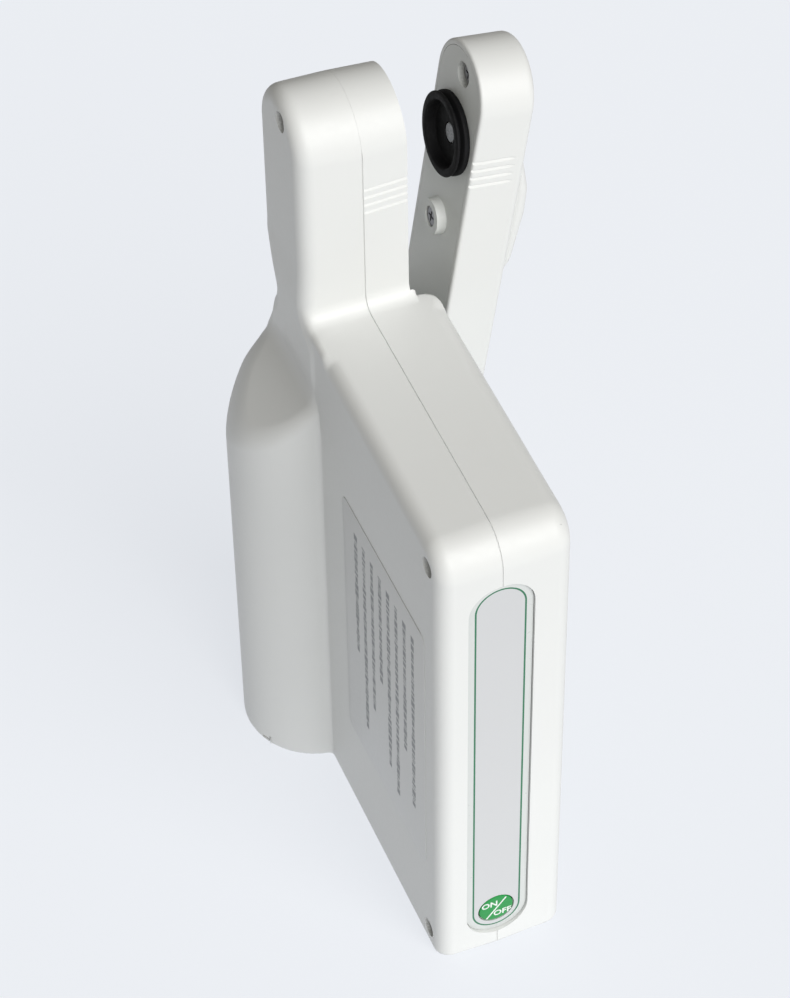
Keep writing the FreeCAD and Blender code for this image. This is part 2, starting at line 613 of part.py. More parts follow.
# ================================================================ boards, display, keys
plate = block("board_plate", (3.2, 4.8), (-39.6, 16.2), (9.2, 108.0))
holes = [rod("board_hole_" + k, "X", WELLS[k], (2.0, 6.0), 3.4) for k in ("mid", "keel", "top")]
holes += [rod("board_post_hole_" + k, "X", at, (2.0, 6.0), 0.95) for k, at in POSTS.items()]
node(less("main_board_solid", plate, join("board_holes", holes)), "main_board")
node(group("chip_set", [block("chip_one", (1.6, 3.2), (-26.0, -12.0), (40.0, 54.0)), block("chip_two", (1.8, 3.2), (-28.0, -20.0), (78.0, 90.0)),
                        block("chip_three", (1.9, 3.2), (3.0, 9.0), (44.0, 52.0))]), "board_chips")
mod = block("module_block", (4.8, 12.1), (-34.6, 10.2), (71.1, 98.9))
node(mod, "lcd_module")

window = new_body("lcd_window")
sk = new_sketch(window, "lcd_window_outline", "YZ_Plane", 13.7)
soft_rect(sk, -34.1, 70.6, 9.7, 97.4, 1.4)
pad(window, sk, "lcd_window_pad", 0.45)
node(window, "lcd_window")

over = new_body("front_overlay")
sk = new_sketch(over, "overlay_outline", "YZ_Plane", 13.7)
soft_rect(sk, -38.1, 12.1, 13.7, 105.9, 2.9)
pad(over, sk, "overlay_pad", 0.4)
sk = new_sketch(over, "overlay_cutouts", "YZ_Plane", 13.0)
soft_rect(sk, -34.2, 70.5, 9.8, 97.5, 1.5)
for ky, kz in KEYS.values():
    capsule(sk, ky - 2.0, kz, ky + 2.0, kz, 4.2)
pad(over, sk, "overlay_cut", 3.0, cut=True, reverse=True)
node(over, "front_overlay")

switches = []
for k, (ky, kz) in KEYS.items():
    b = new_body(k)
    sk = new_sketch(b, k + "_flange", "YZ_Plane", 10.9)
    capsule(sk, ky - 2.0, kz, ky + 2.0, kz, 5.0)
    pad(b, sk, k + "_flange_pad", 1.0)
    sk = new_sketch(b, k + "_cap", "YZ_Plane", 11.4)
    capsule(sk, ky - 2.0, kz, ky + 2.0, kz, "key_round")
    pad(b, sk, k + "_cap_pad", 3.4)
    sk = circles(b, k + "_stem", 9.8, [(ky, kz)], 1.6)
    pad(b, sk, k + "_stem_pad", 1.4)
    doc.recompute()
    fillet_if(b, b.Tip, k + "_round", 0.6, lambda e: sits(e.BoundBox, x=14.8, tol=0.01))
    node(b, k)
    base = block(k + "_sw", (4.8, 8.6), (ky - 3.0, ky + 3.0), (kz - 3.0, kz + 3.0))
    tip_ = rod(k + "_sw_tip", "X", (ky, kz), (8.5, 9.2), 1.7)
    switches.append(join(k + "_switch", [base, tip_]))
node(group("key_switch_set", switches), "key_switches")

# ================================================================ fixed arm: receiver and trigger
node(rod("receiver_glass", "X", (29.3, 145.75), (7.4, 8.65), 3.0), "receiver_window")
node(block("diode_block", (3.2, 6.6), (26.9, 31.7), (143.35, 148.15)), "photodiode")
node(block("receiver_plate", (2.0, 3.2), (22.4, 36.4), (123.3, 152.0)), "receiver_board")
plunger = [rod("plunger_rod", "X", (29.3, 126.5), (5.6, 8.95), 1.75), rod("plunger_flange", "X", (29.3, 126.5), (5.6, 6.5), 2.6)]
node(join("trigger_plunger_solid", plunger), "trigger_plunger")
ts = [block("ts_base", (3.2, 4.4), (26.7, 31.9), (123.9, 129.1)), rod("ts_tip", "X", (29.3, 126.5), (4.3, 4.7), 1.2)]
node(join("trigger_switch_solid", ts), "trigger_switch")
node(rod("pin_rod", "Y", (6.5, 73.0), (17.6, 42.9), 1.0), "hinge_pin")
node(group("return_spring_set", [coil("return_coil", (6.5, 73.0), (26.6, 32.2), 2.25, 0.35, 6, "Y")]), "return_spring")

# ================================================================ clamp arm, drawn closed
arm = new_body("arm_shell")
sk = new_sketch(arm, "arm_front_view", "YZ_Plane", 2.9)
outline(sk, [("p", "clamp_near", 66.0), ("p", "clamp_far", 66.0), ("p", "clamp_far", "clamp_top_z"),
             ("arc", "clamp_mid", "clamp_top_z", True), ("p", "clamp_near", "clamp_top_z")])
pad(arm, sk, "arm_pad", 18.96)
# side profile: straight bar, curved foot and the knuckle round the pin; everything outside it is cut away
sk = new_sketch(arm, "arm_side_view", "XZ_Plane")
rect(sk, -5.0, 50.0, 40.0, 180.0)
px, pz = SIZES["pin_x"], SIZES["pin_z"]
outline(sk, [("p", "clamp_in", 81.5), ("p", px + 3.6 * math.cos(math.radians(125)), pz + 3.6 * math.sin(math.radians(125))),
             ("arc", "pin_x", "pin_z", True), ("p", px + 3.6 * math.cos(math.radians(280)), pz + 3.6 * math.sin(math.radians(280))),
             ("p", 11.604, 70.51), ("arc", 7.86, 84.0, True), ("p", 21.86, 84.0), ("p", 21.86, 172.0), ("p", "clamp_in", 172.0)])
pad(arm, sk, "arm_side_cut", 200.0, cut=True, mid=True)
doc.recompute()
# knuckle cheeks stand clear of the pocket walls, with a gap for the coil between them
sk = new_sketch(arm, "knuckle_sides", "XY_Plane", 60.0)
rect(sk, 0.0, 15.0, 9.4, 20.0)
rect(sk, 0.0, 38.8, 9.4, 45.0)
rect(sk, 0.0, 25.4, 10.3, 33.4)
pad(arm, sk, "knuckle_sides_cut", 18.2, cut=True, reverse=True)
sk = circles(arm, "knuckle_bore", -10.0, [("pin_x", "pin_z")], 1.06, "XZ_Plane")
pad(arm, sk, "knuckle_bore_cut", 40.0, cut=True)
doc.recompute()
tip = fillet_if(arm, arm.Tip, "arm_outer_edge", 1.2, lambda e: sits(e.BoundBox, x=21.86, tol=0.01))


def bar_outline(s, near, far, low):
    mid, top = SIZES["clamp_mid"], SIZES["clamp_top_z"]
    outline(s, [("p", near, low), ("p", far, low), ("p", far, top), ("arc", mid, top, True), ("p", near, top)])


sk = new_sketch(arm, "cover_recess", "YZ_Plane", 12.6)
bar_outline(sk, 20.85, 37.75, 84.0)
pad(arm, sk, "cover_recess_cut", 5.0, cut=True)
sk = new_sketch(arm, "arm_hollow_section", "YZ_Plane", 20.2)
bar_outline(sk, 21.6, 37.0, 86.0)
pad(arm, sk, "arm_hollow_cut", 8.0, cut=True)
sk = circles(arm, "head_post", 14.3, [(28.7, "head_screw_z")], 2.4)
pad(arm, sk, "head_post_pad", 6.4)
sk = circles(arm, "boss_post", 12.7, [(29.2, "boss_z")], 2.4)
pad(arm, sk, "boss_post_pad", 8.0)
sk = circles(arm, "arm_pilots", 12.0, [(28.7, "head_screw_z"), (29.2, "boss_z")], 1.0)
pad(arm, sk, "arm_pilots_cut", 7.6, cut=True, reverse=True)
sk = new_sketch(arm, "arm_grooves", "YZ_Plane", 5.0)
for n in range(4):
    gz = SIZES["groove_one"] + n * SIZES["groove_pitch"]
    rect(sk, 19.0, gz - 0.42, 20.07, gz + 0.42)
    rect(sk, 38.53, gz - 0.42, 39.6, gz + 0.42)
pad(arm, sk, "arm_grooves_cut", 20.0, cut=True, reverse=True)
clamp_node(arm, "arm_shell")

cover = new_body("arm_cover")
sk = new_sketch(cover, "cover_outline", "YZ_Plane", "clamp_in")
bar_outline(sk, 20.9, 37.7, 84.05)
pad(cover, sk, "cover_pad", 1.6)
sk = circles(cover, "cover_boss", 12.4, [(28.7, "head_screw_z")], 3.0)
pad(cover, sk, "cover_boss_pad", 1.8)
sk = circles(cover, "cover_well", 12.9, [(28.7, "head_screw_z")], "cover_well_round")
pad(cover, sk, "cover_well_cut", 4.0, cut=True)
sk = circles(cover, "cover_pass", 10.0, [(28.7, "head_screw_z"), (29.2, "boss_z")], 1.2)
pad(cover, sk, "cover_pass_cut", 6.0, cut=True, reverse=True)
sk = circles(cover, "cover_window_hole", 10.0, [(29.3, "cup_z")], 1.8)
pad(cover, sk, "cover_window_cut", 6.0, cut=True, reverse=True)
clamp_node(cover, "arm_cover")

boss = join("boss_rough", [rod("boss_cone", "X", (29.2, 126.5), (9.2, 11.0), 3.4, 3.6)])
boss_cone = boss.Shapes[0]
doc.removeObject(boss.Name)
boss_cut = join("boss_bores", [rod("boss_recess", "X", (29.2, 126.5), (9.0, 10.4), 2.0), rod("boss_pass", "X", (29.2, 126.5), (10.0, 11.5), 1.2)])
clamp_node(less("stop_boss_solid", boss_cone, boss_cut), "stop_boss")
clamp_node(group("arm_screw_set", [screw("as_head", (28.7, 159.2), 12.0, 12.9, 1.75, 18.6, 0.95), screw("as_boss", (29.2, 126.5), 9.5, 10.4, 1.75, 16.1, 0.95)]), "arm_screws")

cup = new_body("rubber_eyecup")
sk = new_sketch(cup, "cup_profile", "XY_Plane")
sk.AttachmentOffset = FreeCAD.Placement(V(0, SIZES["clamp_mid"], SIZES["cup_z"]), FreeCAD.Rotation())
sk.setExpression("AttachmentOffset.Base.y", "sizes.clamp_mid")
sk.setExpression("AttachmentOffset.Base.z", "sizes.cup_z")
outline(sk, [("p", 10.98, 1.95), ("p", 10.98, 7.9), ("p", 10.3, 7.9), ("p", 10.1, 7.0), ("p", 9.85, 7.0), ("p", 9.6, 8.0),
             ("p", 8.85, 8.0), ("p", 8.4, 6.9), ("p", 8.4, 6.3), ("p", 8.7, 6.2), ("p", 10.5, 6.0), ("p", 10.5, 1.95)])
rev = cup.newObject("PartDesign::Revolution", "cup_turn")
rev.Profile = sk
rev.ReferenceAxis = (sk, ["H_Axis"])
rev.Angle = 360.0
cup.Tip = rev
clamp_node(cup, "rubber_eyecup")

clamp_node(group("emitter_glass_set", [rod("emitter_glass", "X", (29.3, 145.75), (10.55, 12.3), 1.75)]), "emitter_window")
clamp_node(group("led_set", [rod("led_red", "X", (28.35, 145.75), (12.5, 15.0), 0.8), rod("led_infrared", "X", (30.25, 145.75), (12.5, 15.0), 0.8)]), "emitter_leds")
clamp_node(group("emitter_plate_set", [block("emitter_plate", (15.0, 16.2), (22.6, 36.0), (136.5, 154.5))]), "emitter_board")
clamp_node(group("ribbon_set", [block("ribbon_run", (16.2, 16.45), (32.3, 36.3), (88.0, 152.0))]), "arm_ribbon")

thumb = new_body("thumb_pad")
sk = new_sketch(thumb, "thumb_profile", "XZ_Plane", -21.1)
outline(sk, [("p", 21.86, 115.7), ("p", 22.9, 115.75), ("p", 23.5, 117.0), ("p", 24.95, 130.0), ("p", 24.95, 134.0),
             ("p", 24.3, 138.0), ("p", 23.0, 142.0), ("p", 21.86, 143.8)])
pad(thumb, sk, "thumb_run", 16.4, reverse=True)
doc.recompute()
fillet_if(thumb, thumb.Tip, "thumb_sides", 1.0, lambda e: (sits(e.BoundBox, y=21.1, tol=0.01) or sits(e.BoundBox, y=37.5, tol=0.01)) and e.BoundBox.XMax > 21.9)
clamp_node(thumb, "thumb_pad")

# ================================================================ checks and files
doc.recompute()
problems = []
for o in doc.Objects:
    state = [str(s) for s in o.State]
    if any("Invalid" in s or "Error" in s for s in state):
        problems.append("%s state %s" % (o.Name, state))
for o in NODES:
    s = o.Shape
    if s.isNull():
        problems.append("%s has no shape" % o.Label)
        continue
    if not s.isValid():
        problems.append("%s is not valid" % o.Label)
    if not s.Solids:
        problems.append("%s has no solid" % o.Label)
    b = s.BoundBox
    print("%-18s solids %d  vol %9.2f  X %7.2f %7.2f  Y %7.2f %7.2f  Z %7.2f %7.2f" % (
        o.Label, len(s.Solids), s.Volume, b.XMin, b.XMax, b.YMin, b.YMax, b.ZMin, b.ZMax))
labels = [o.Label for o in NODES]
if len(set(labels)) != len(labels):
    problems.append("two nodes share a name")
if problems:
    raise RuntimeError("; ".join(problems))
os.makedirs("parts", exist_ok=True)
for o in NODES:
    o.Shape.exportStep("parts/%s.step" % o.Label)
print(len(NODES), "nodes written")
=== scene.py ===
import bpy
import math
import numpy as np
from mathutils import Matrix, Vector
from mathutils.geometry import tessellate_polygon


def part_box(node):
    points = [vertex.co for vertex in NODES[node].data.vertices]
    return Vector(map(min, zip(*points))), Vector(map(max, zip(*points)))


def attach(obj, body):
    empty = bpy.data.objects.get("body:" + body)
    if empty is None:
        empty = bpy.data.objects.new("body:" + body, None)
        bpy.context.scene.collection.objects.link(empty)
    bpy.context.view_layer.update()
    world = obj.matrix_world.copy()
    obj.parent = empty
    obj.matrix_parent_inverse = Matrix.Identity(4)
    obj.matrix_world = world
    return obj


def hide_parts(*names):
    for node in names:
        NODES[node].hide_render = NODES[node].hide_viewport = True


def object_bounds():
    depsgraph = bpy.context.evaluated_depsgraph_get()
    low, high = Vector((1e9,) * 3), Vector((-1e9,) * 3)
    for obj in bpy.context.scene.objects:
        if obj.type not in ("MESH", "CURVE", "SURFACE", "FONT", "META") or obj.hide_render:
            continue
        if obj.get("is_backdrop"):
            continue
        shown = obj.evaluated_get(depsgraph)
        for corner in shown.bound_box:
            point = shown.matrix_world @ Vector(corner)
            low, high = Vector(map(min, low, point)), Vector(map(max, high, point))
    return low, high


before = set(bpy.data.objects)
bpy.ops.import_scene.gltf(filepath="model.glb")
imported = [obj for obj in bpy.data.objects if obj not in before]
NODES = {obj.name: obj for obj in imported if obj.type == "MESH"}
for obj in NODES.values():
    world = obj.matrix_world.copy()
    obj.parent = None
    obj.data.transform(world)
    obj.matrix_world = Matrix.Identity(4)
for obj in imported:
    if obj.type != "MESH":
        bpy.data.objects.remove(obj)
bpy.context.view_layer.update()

SCENE = bpy.context.scene
TAN2 = math.tan(math.radians(2.0))

# Lengths in this file are millimetres. put() turns them into metres.
# X: thickness (mould seam at 0, back negative), Y: depth, Z: up.

# ================================================================ flat outlines


class Path:
    """closed outline of lines and arcs, run counter-clockwise.
    steps: (u, v, r) corners with a rounding radius, ("arc", cu, cv) between two corners with r 0"""

    def __init__(self, steps, inset=0.0, fine=5.0):
        pts = [s for s in steps if s[0] != "arc"]
        area = sum(a[0] * b[1] - b[0] * a[1] for a, b in zip(pts, pts[1:] + pts[:1]))
        if area < 0:
            raise ValueError("outline runs clockwise")
        n = len(pts)
        arcs = {}
        k = -1
        for s in steps:
            if s[0] == "arc":
                arcs[k] = (s[1], s[2])
            else:
                k += 1
        self.prims = []
        self.points = []
        P = [np.array(p[:2], float) for p in pts]
        R = [float(p[2]) for p in pts]
        T = []
        for i in range(n):
            d = P[(i + 1) % n] - P[i]
            T.append(d / np.hypot(*d))
        N = [np.array((-t[1], t[0])) for t in T]
        ends = []
        for i in range(n):
            a, b = (i - 1) % n, i
            if a in arcs or b in arcs:
                ends.append((P[i].copy(), P[i].copy(), None))
                continue
            turn = T[a][0] * T[b][1] - T[a][1] * T[b][0]
            dot = float(np.clip(T[a] @ T[b], -1, 1))
            half = math.acos(dot) / 2
            pa, pb = P[i] + N[a] * inset, P[i] + N[b] * inset
            if abs(turn) < 1e-6:
                c = pa
            else:
                w = pb - pa
                c = pa + T[a] * ((w[0] * T[b][1] - w[1] * T[b][0]) / turn)
            r = R[i] - inset if turn > 0 else R[i] + inset
            if R[i] <= 0 or r <= 0.02:
                r = 0.02 if R[i] > 0 else 0.0
            if r == 0 or abs(turn) < 1e-6:
                ends.append((c, c, None))
                continue
            cut = r * math.tan(half)
            s, e = c - T[a] * cut, c + T[b] * cut
            o = s + N[a] * (r if turn > 0 else -r)
            ends.append((s, e, (o, r, 1.0 if turn > 0 else -1.0, 2 * half)))
        for i in range(n):
            s, e, arc = ends[i]
            if arc is None:
                self.points.append(tuple(s))
            else:
                o, r, sg, sweep = arc
                self.prims.append(("arc", o, r, sg, s, e))
                m = max(2, int(math.ceil(math.degrees(sweep) / fine)))
                a0 = math.atan2(s[1] - o[1], s[0] - o[0])
                for q in range(m + 1):
                    a = a0 + sg * sweep * q / m
                    self.points.append((o[0] + r * math.cos(a), o[1] + r * math.sin(a)))
            nxt = ends[(i + 1) % n][0]
            if i in arcs:
                o = np.array(arcs[i])
                r = float(np.hypot(*(e - o)))
                a0, a1 = math.atan2(*(e - o)[::-1]), math.atan2(*(nxt - o)[::-1])
                while a1 <= a0:
                    a1 += 2 * math.pi
                self.prims.append(("arc", o, r, 1.0, e, nxt))
                m = max(2, int(math.ceil(math.degrees(a1 - a0) / fine)))
                for q in range(1, m):
                    a = a0 + (a1 - a0) * q / m
                    self.points.append((o[0] + r * math.cos(a), o[1] + r * math.sin(a)))
            elif np.hypot(*(nxt - e)) > 1e-9:
                self.prims.append(("line", e, nxt))

    def far(self, u, v):
        """signed distance, negative inside"""
        u, v = np.broadcast_arrays(u, v)
        best = np.full(u.shape, 1e9)
        for p in self.prims:
            if p[0] == "line":
                a, b = p[1], p[2]
                t = b - a
                ln = np.hypot(*t)
                t = t / ln
                du, dv = u - a[0], v - a[1]
                s = np.clip(du * t[0] + dv * t[1], 0, ln)
                d = np.hypot(du - s * t[0], dv - s * t[1])
                d = np.where(t[0] * dv - t[1] * du >= 0, -d, d)
            else:
                o, r, sg, s, e = p[1:]
                du, dv = u - o[0], v - o[1]
                ds, de = s - o, e - o
                rho = np.hypot(du, dv)
                inside = ((ds[0] * dv - ds[1] * du) * sg >= -1e-9) & ((du * de[1] - dv * de[0]) * sg >= -1e-9)
                if (ds[0] * de[1] - ds[1] * de[0]) * sg < 0:
                    inside = ((ds[0] * dv - ds[1] * du) * sg >= 0) | ((du * de[1] - dv * de[0]) * sg >= 0)
                d = np.where(inside, (rho - r) * sg, 1e9)
            best = np.where(np.abs(d) < np.abs(best), d, best)
        return best


def both(a, b, r):
    """common part of two shapes, with the edge between them rounded"""
    return np.minimum(np.maximum(a + r, b + r), 0) + np.hypot(np.maximum(a + r, 0), np.maximum(b + r, 0)) - r


def soft_max(a, b, k):
    q = np.maximum(k - np.abs(a - b), 0) / k
    return np.maximum(a, b) + q * q * k * 0.25


def step(x, a, b):
    t = np.clip((x - a) / (b - a), 0, 1)
    return t * t * (3 - 2 * t)


# ================================================================ housing form
HOUSE_STEPS = [(-43.5, -20.0, 0), (43.3, -20.0, 0), (43.3, 98.5, 4.0), (34.4, 114.0, 5.0), (40.0, 125.88, 2.0),
               (40.0, 163.97, 10.3), (19.4, 163.97, 10.3), (19.4, 117.6, 3.0), (-43.5, 115.55, 7.3)]
HOUSE = Path(HOUSE_STEPS)
THICK = Path([(-43.5, -20.0, 0), (60.0, -20.0, 0), (60.0, 118.92, 0), (-43.5, 115.55, 7.3)])
SLOPE = Path([(-60.0, -30.0, 0), (30.0, -30.0, 0), (30.0, 200.0, 0), (-12.1, 200.0, 0), (-12.1, 101.6, 7.0), (-60.0, 51.64, 0)])


def housing(x, y, z):
    ax = np.abs(x)
    # the top of the fixed arm falls a little from the back face to the front
    fall = np.where(x < 0, np.clip(1.0 + x / 12.1, 0, 1), 1.0 + 0.046 * x) * step(z, 142.0, 160.0)
    side = HOUSE.far(y, z + fall)
    d2 = side + ax * TAN2
    up = step(z, 112.0, 121.0) * step(y, 12.0, 17.0)
    tight = step(y, 8.5, 11.5) * step(z, 104.0, 110.0) * (1 - step(z, 117.0, 127.0))
    back = both(d2, -12.1 - x, 3.0 + 0.5 * up - 1.8 * tight)
    plan = both(x - 14.2, y - 19.15, 4.0)
    thick = both(THICK.far(y, z) + ax * TAN2, plan, 3.4 - 2.8 * step(y, 14.0, 18.6))
    front = np.minimum(thick, np.maximum(d2, x - 9.7))
    body = np.where(x < 0, back, front)
    cyl = np.hypot(x + 9.85, y - 28.35) - 15.07
    high = step(z, 86.0, 97.0)
    bulge = soft_max(cyl, side + ax * TAN2 * high, 0.4 + 3.0 * high)
    # the grip stands a little proud of the back up to the root of the arm
    proud = 0.45 * step(z, 102.0, 108.0) * (1 - step(z, 118.5, 130.0))
    r = 2.3 + 4.4 * step(y, 22.0, 37.0)
    r = r + (3.0 - r) * step(z, 97.0, 104.0)
    bulge = both(bulge, SLOPE.far(x + proud, z), r)
    w = 0.8 - 0.5 * step(z, 92.0, 100.0) - 0.27 * step(z, 116.0, 126.0)
    d = np.maximum(w, np.minimum(body, bulge)) - np.hypot(np.maximum(w - body, 0), np.maximum(w - bulge, 0))
    d = soft_max(d, y - 43.3, 0.3)
    return both(d, -z, 0.8)


# ================================================================ clamp arm form, drawn closed
ARM_FRONT = Path([(19.75, 40.0, 0), (38.85, 40.0, 0), (38.85, 164.6, 9.55), (19.75, 164.6, 9.55)])
KX, KZ = 6.5, 73.0
ARM_SIDE = Path([(11.0, 81.5, 0), (KX + 3.6 * math.cos(math.radians(125)), KZ + 3.6 * math.sin(math.radians(125)), 0), ("arc", KX, KZ),
                 (KX + 3.6 * math.cos(math.radians(280)), KZ + 3.6 * math.sin(math.radians(280)), 0),
                 (11.604, 70.51, 0), ("arc", 7.86, 84.0), (21.86, 84.0, 0), (21.86, 172.0, 0), (11.0, 172.0, 0)])
SWING = math.radians(8.27)


def arm_form(x, y, z):
    a, b = ARM_FRONT.far(y, z), ARM_SIDE.far(x, z)
    return both(a, b, 0.55 + 0.85 * step(x, 12.5, 19.0))


THUMB = Path([(21.2, 115.7, 0), (22.2, 115.7, 0.9), (23.9, 119.0, 4.0), (24.95, 130.0, 7.0), (24.75, 135.8, 8.0), (22.6, 143.1, 1.6), (21.2, 143.8, 0)])


def thumb_form(x, y, z):
    return both(THUMB.far(x, z), np.abs(y - 29.3) - 8.2, 2.0)


def swing(v):
    """from the closed place of the clamp arm to its place at rest"""
    c, s = math.cos(SWING), math.sin(SWING)
    out = np.array(v, float)
    dx, dz = out[:, 0] - KX, out[:, 2] - KZ
    out[:, 0], out[:, 2] = KX + dx * c + dz * s, KZ - dx * s + dz * c
    return out


# ================================================================ meshes from forms
def slope(fn, v, e=0.01):
    g = np.empty_like(v)
    for i in range(3):
        q = v.copy()
        q[:, i] += e
        hi = fn(*q.T)
        q[:, i] -= 2 * e
        g[:, i] = (hi - fn(*q.T)) / (2 * e)
    return g


def settle(fn, v, turns, most):
    for _ in range(turns):
        g = slope(fn, v)
        move = (fn(*v.T) / np.maximum((g * g).sum(1), 0.2))[:, None] * g
        ln = np.maximum(np.linalg.norm(move, axis=1), 1e-12)
        v = v - move * np.minimum(1, most / ln)[:, None]
    return v


def nets(fn, lo, hi, h):
    """closed mesh of the surface where fn is zero"""
    lo = np.array(lo, float)
    n = [int(math.ceil((b - a) / h)) + 1 for a, b in zip(lo, hi)]
    ax = [lo[i] + h * np.arange(n[i]) for i in range(3)]
    f = fn(ax[0][:, None, None], ax[1][None, :, None], ax[2][None, None, :]).astype(np.float32)
    ins = f < 0
    cnt = np.zeros([m - 1 for m in n], np.uint8)
    corners = [(i, j, k) for i in (0, 1) for j in (0, 1) for k in (0, 1)]
    for i, j, k in corners:
        cnt += ins[i:n[0] - 1 + i, j:n[1] - 1 + j, k:n[2] - 1 + k]
    act = (cnt > 0) & (cnt < 8)
    cells = np.argwhere(act)
    idx = np.full(act.shape, -1, np.int64)
    idx[act] = np.arange(len(cells))
    vals = [f[cells[:, 0] + i, cells[:, 1] + j, cells[:, 2] + k] for i, j, k in corners]
    acc = np.zeros((len(cells), 3))
    num = np.zeros(len(cells))
    for a in range(8):
        for b in range(a + 1, 8):
            ca, cb = np.array(corners[a]), np.array(corners[b])
            if np.abs(ca - cb).sum() != 1:
                continue
            m = (vals[a] < 0) != (vals[b] < 0)
            t = vals[a][m] / (vals[a][m] - vals[b][m])
            acc[m] += ca + t[:, None] * (cb - ca)
            num[m] += 1
    v = lo + h * (cells + acc / num[:, None])
    quads = []
    for axis in range(3):
        u, w = (axis + 1) % 3, (axis + 2) % 3
        a = [slice(None)] * 3
        b = [slice(None)] * 3
        a[axis], b[axis] = slice(0, -1), slice(1, None)
        flip = ins[tuple(a)] != ins[tuple(b)]
        p = np.argwhere(flip)
        p = p[(p[:, u] > 0) & (p[:, u] < n[u] - 1) & (p[:, w] > 0) & (p[:, w] < n[w] - 1)]
        q = []
        for du, dw in ((-1, -1), (0, -1), (0, 0), (-1, 0)):
            c = p.copy()
            c[:, u] += du
            c[:, w] += dw
            q.append(idx[c[:, 0], c[:, 1], c[:, 2]])
        q = np.stack(q, 1)
        low = ins[p[:, 0], p[:, 1], p[:, 2]]
        q[~low] = q[~low][:, ::-1]
        quads.append(q)
    return settle(fn, v, 3, 0.5 * h), np.concatenate(quads)


def mesh_of(v, faces, name="form"):
    me = bpy.data.meshes.new(name)
    v = np.asarray(v, np.float32)
    if isinstance(faces, np.ndarray):
        me.vertices.add(len(v))
        me.vertices.foreach_set("co", v.ravel())
        me.loops.add(faces.size)
        me.loops.foreach_set("vertex_index", faces.astype(np.int32).ravel())
        me.polygons.add(len(faces))
        me.polygons.foreach_set("loop_start", (np.arange(len(faces)) * faces.shape[1]).astype(np.int32))
        me.update(calc_edges=True)
    else:
        me.from_pydata([tuple(map(float, p)) for p in v], [], [list(map(int, q)) for q in faces])
    me.validate()
    return me


def shown(me, name):
    o = bpy.data.objects.new(name, me)
    SCENE.collection.objects.link(o)
    return o


def settled(o):
    """the object's mesh with its modifiers applied"""
    dg = bpy.context.evaluated_depsgraph_get()
    me = bpy.data.meshes.new_from_object(o.evaluated_get(dg))
    old = o.data
    o.modifiers.clear()
    o.data = me
    bpy.data.meshes.remove(old)
    return o


def thin_out(o, ratio):
    m = o.modifiers.new("thin", "DECIMATE")
    m.ratio = ratio
    return settled(o)


def carve(o, cutter, op="DIFFERENCE"):
    c = shown(cutter, "cutter")
    m = o.modifiers.new("carve", "BOOLEAN")
    m.object, m.operation, m.solver = c, op, "MANIFOLD"
    settled(o)
    bpy.data.objects.remove(c)
    bpy.data.meshes.remove(cutter)
    return o


def turned(pts, axis, at):
    """2-D points to 3-D: axis X takes (y, z), axis Y takes (x, z), axis Z takes (x, y)"""
    a = np.full(len(pts), float(at))
    p = np.asarray(pts, float)
    if axis == "X":
        return np.stack([a, p[:, 0], p[:, 1]], 1)
    if axis == "Y":
        return np.stack([p[:, 0], a, p[:, 1]], 1)
    return np.stack([p[:, 0], p[:, 1], a], 1)


def stack(rings, closed=True, name="form"):
    """closed mesh through rings of equally many points; the end rings are capped"""
    n = len(rings[0])
    v = np.concatenate(rings)
    faces = []
    for k in range(len(rings) - 1):
        for i in range(n):
            j = (i + 1) % n
            faces.append((k * n + i, k * n + j, (k + 1) * n + j, (k + 1) * n + i))
    if closed:
        faces.append(tuple(range(n - 1, -1, -1)))
        faces.append(tuple(range((len(rings) - 1) * n, len(rings) * n)))
    else:
        k = len(rings) - 1
        for i in range(n):
            j = (i + 1) % n
            faces.append((k * n + i, k * n + j, j, i))
    # outward faces: the volume comes out positive
    vol = 0.0
    for f in faces:
        for a, b in zip(f[1:-1], f[2:]):
            vol += float(np.dot(v[f[0]], np.cross(v[a], v[b])))
    if vol < 0:
        faces = [f[::-1] for f in faces]
    return mesh_of(v, faces, name)


def prism(pts, axis, lo, hi):
    return stack([turned(pts, axis, lo), turned(pts, axis, hi)])


def box_mesh(x, y, z):
    return prism([(x[0], y[0]), (x[1], y[0]), (x[1], y[1]), (x[0], y[1])], "Z", *z)


def ring_pts(cu, cv, r, n=40):
    return [(cu + r * math.cos(2 * math.pi * i / n), cv + r * math.sin(2 * math.pi * i / n)) for i in range(n)]


def slab(steps, axis, levels, fine=5.0):
    """plate with shaped edges: levels are (place along the axis, inset of the outline)"""
    return stack([turned(Path(steps, inset=i, fine=fine).points, axis, at) for at, i in levels])


def pill(u0, v0, u1, v1, r):
    """steps of a capsule along u or v"""
    if abs(v0 - v1) < 1e-9:
        return [(u0 - r, v0 - r, r), (u1 + r, v0 - r, r), (u1 + r, v0 + r, r), (u0 - r, v0 + r, r)]
    return [(u0 - r, v0 - r, r), (u0 + r, v0 - r, r), (u0 + r, v1 + r, r), (u0 - r, v1 + r, r)]


def lathe(profile, n=96, name="form"):
    """ring turned about the X axis from closed (x, r) points"""
    k = len(profile)
    v, faces = [], []
    for i in range(n):
        a = 2 * math.pi * i / n
        v += [(x, r * math.cos(a), r * math.sin(a)) for x, r in profile]
    for i in range(n):
        j = (i + 1) % n
        for p in range(k):
            q = (p + 1) % k
            faces.append((i * k + p, i * k + q, j * k + q, j * k + p))
    v = np.array(v)
    vol = 0.0
    for f in faces:
        for a, b in zip(f[1:-1], f[2:]):
            vol += float(np.dot(v[f[0]], np.cross(v[a], v[b])))
    if vol < 0:
        faces = [f[::-1] for f in faces]
    return v, faces


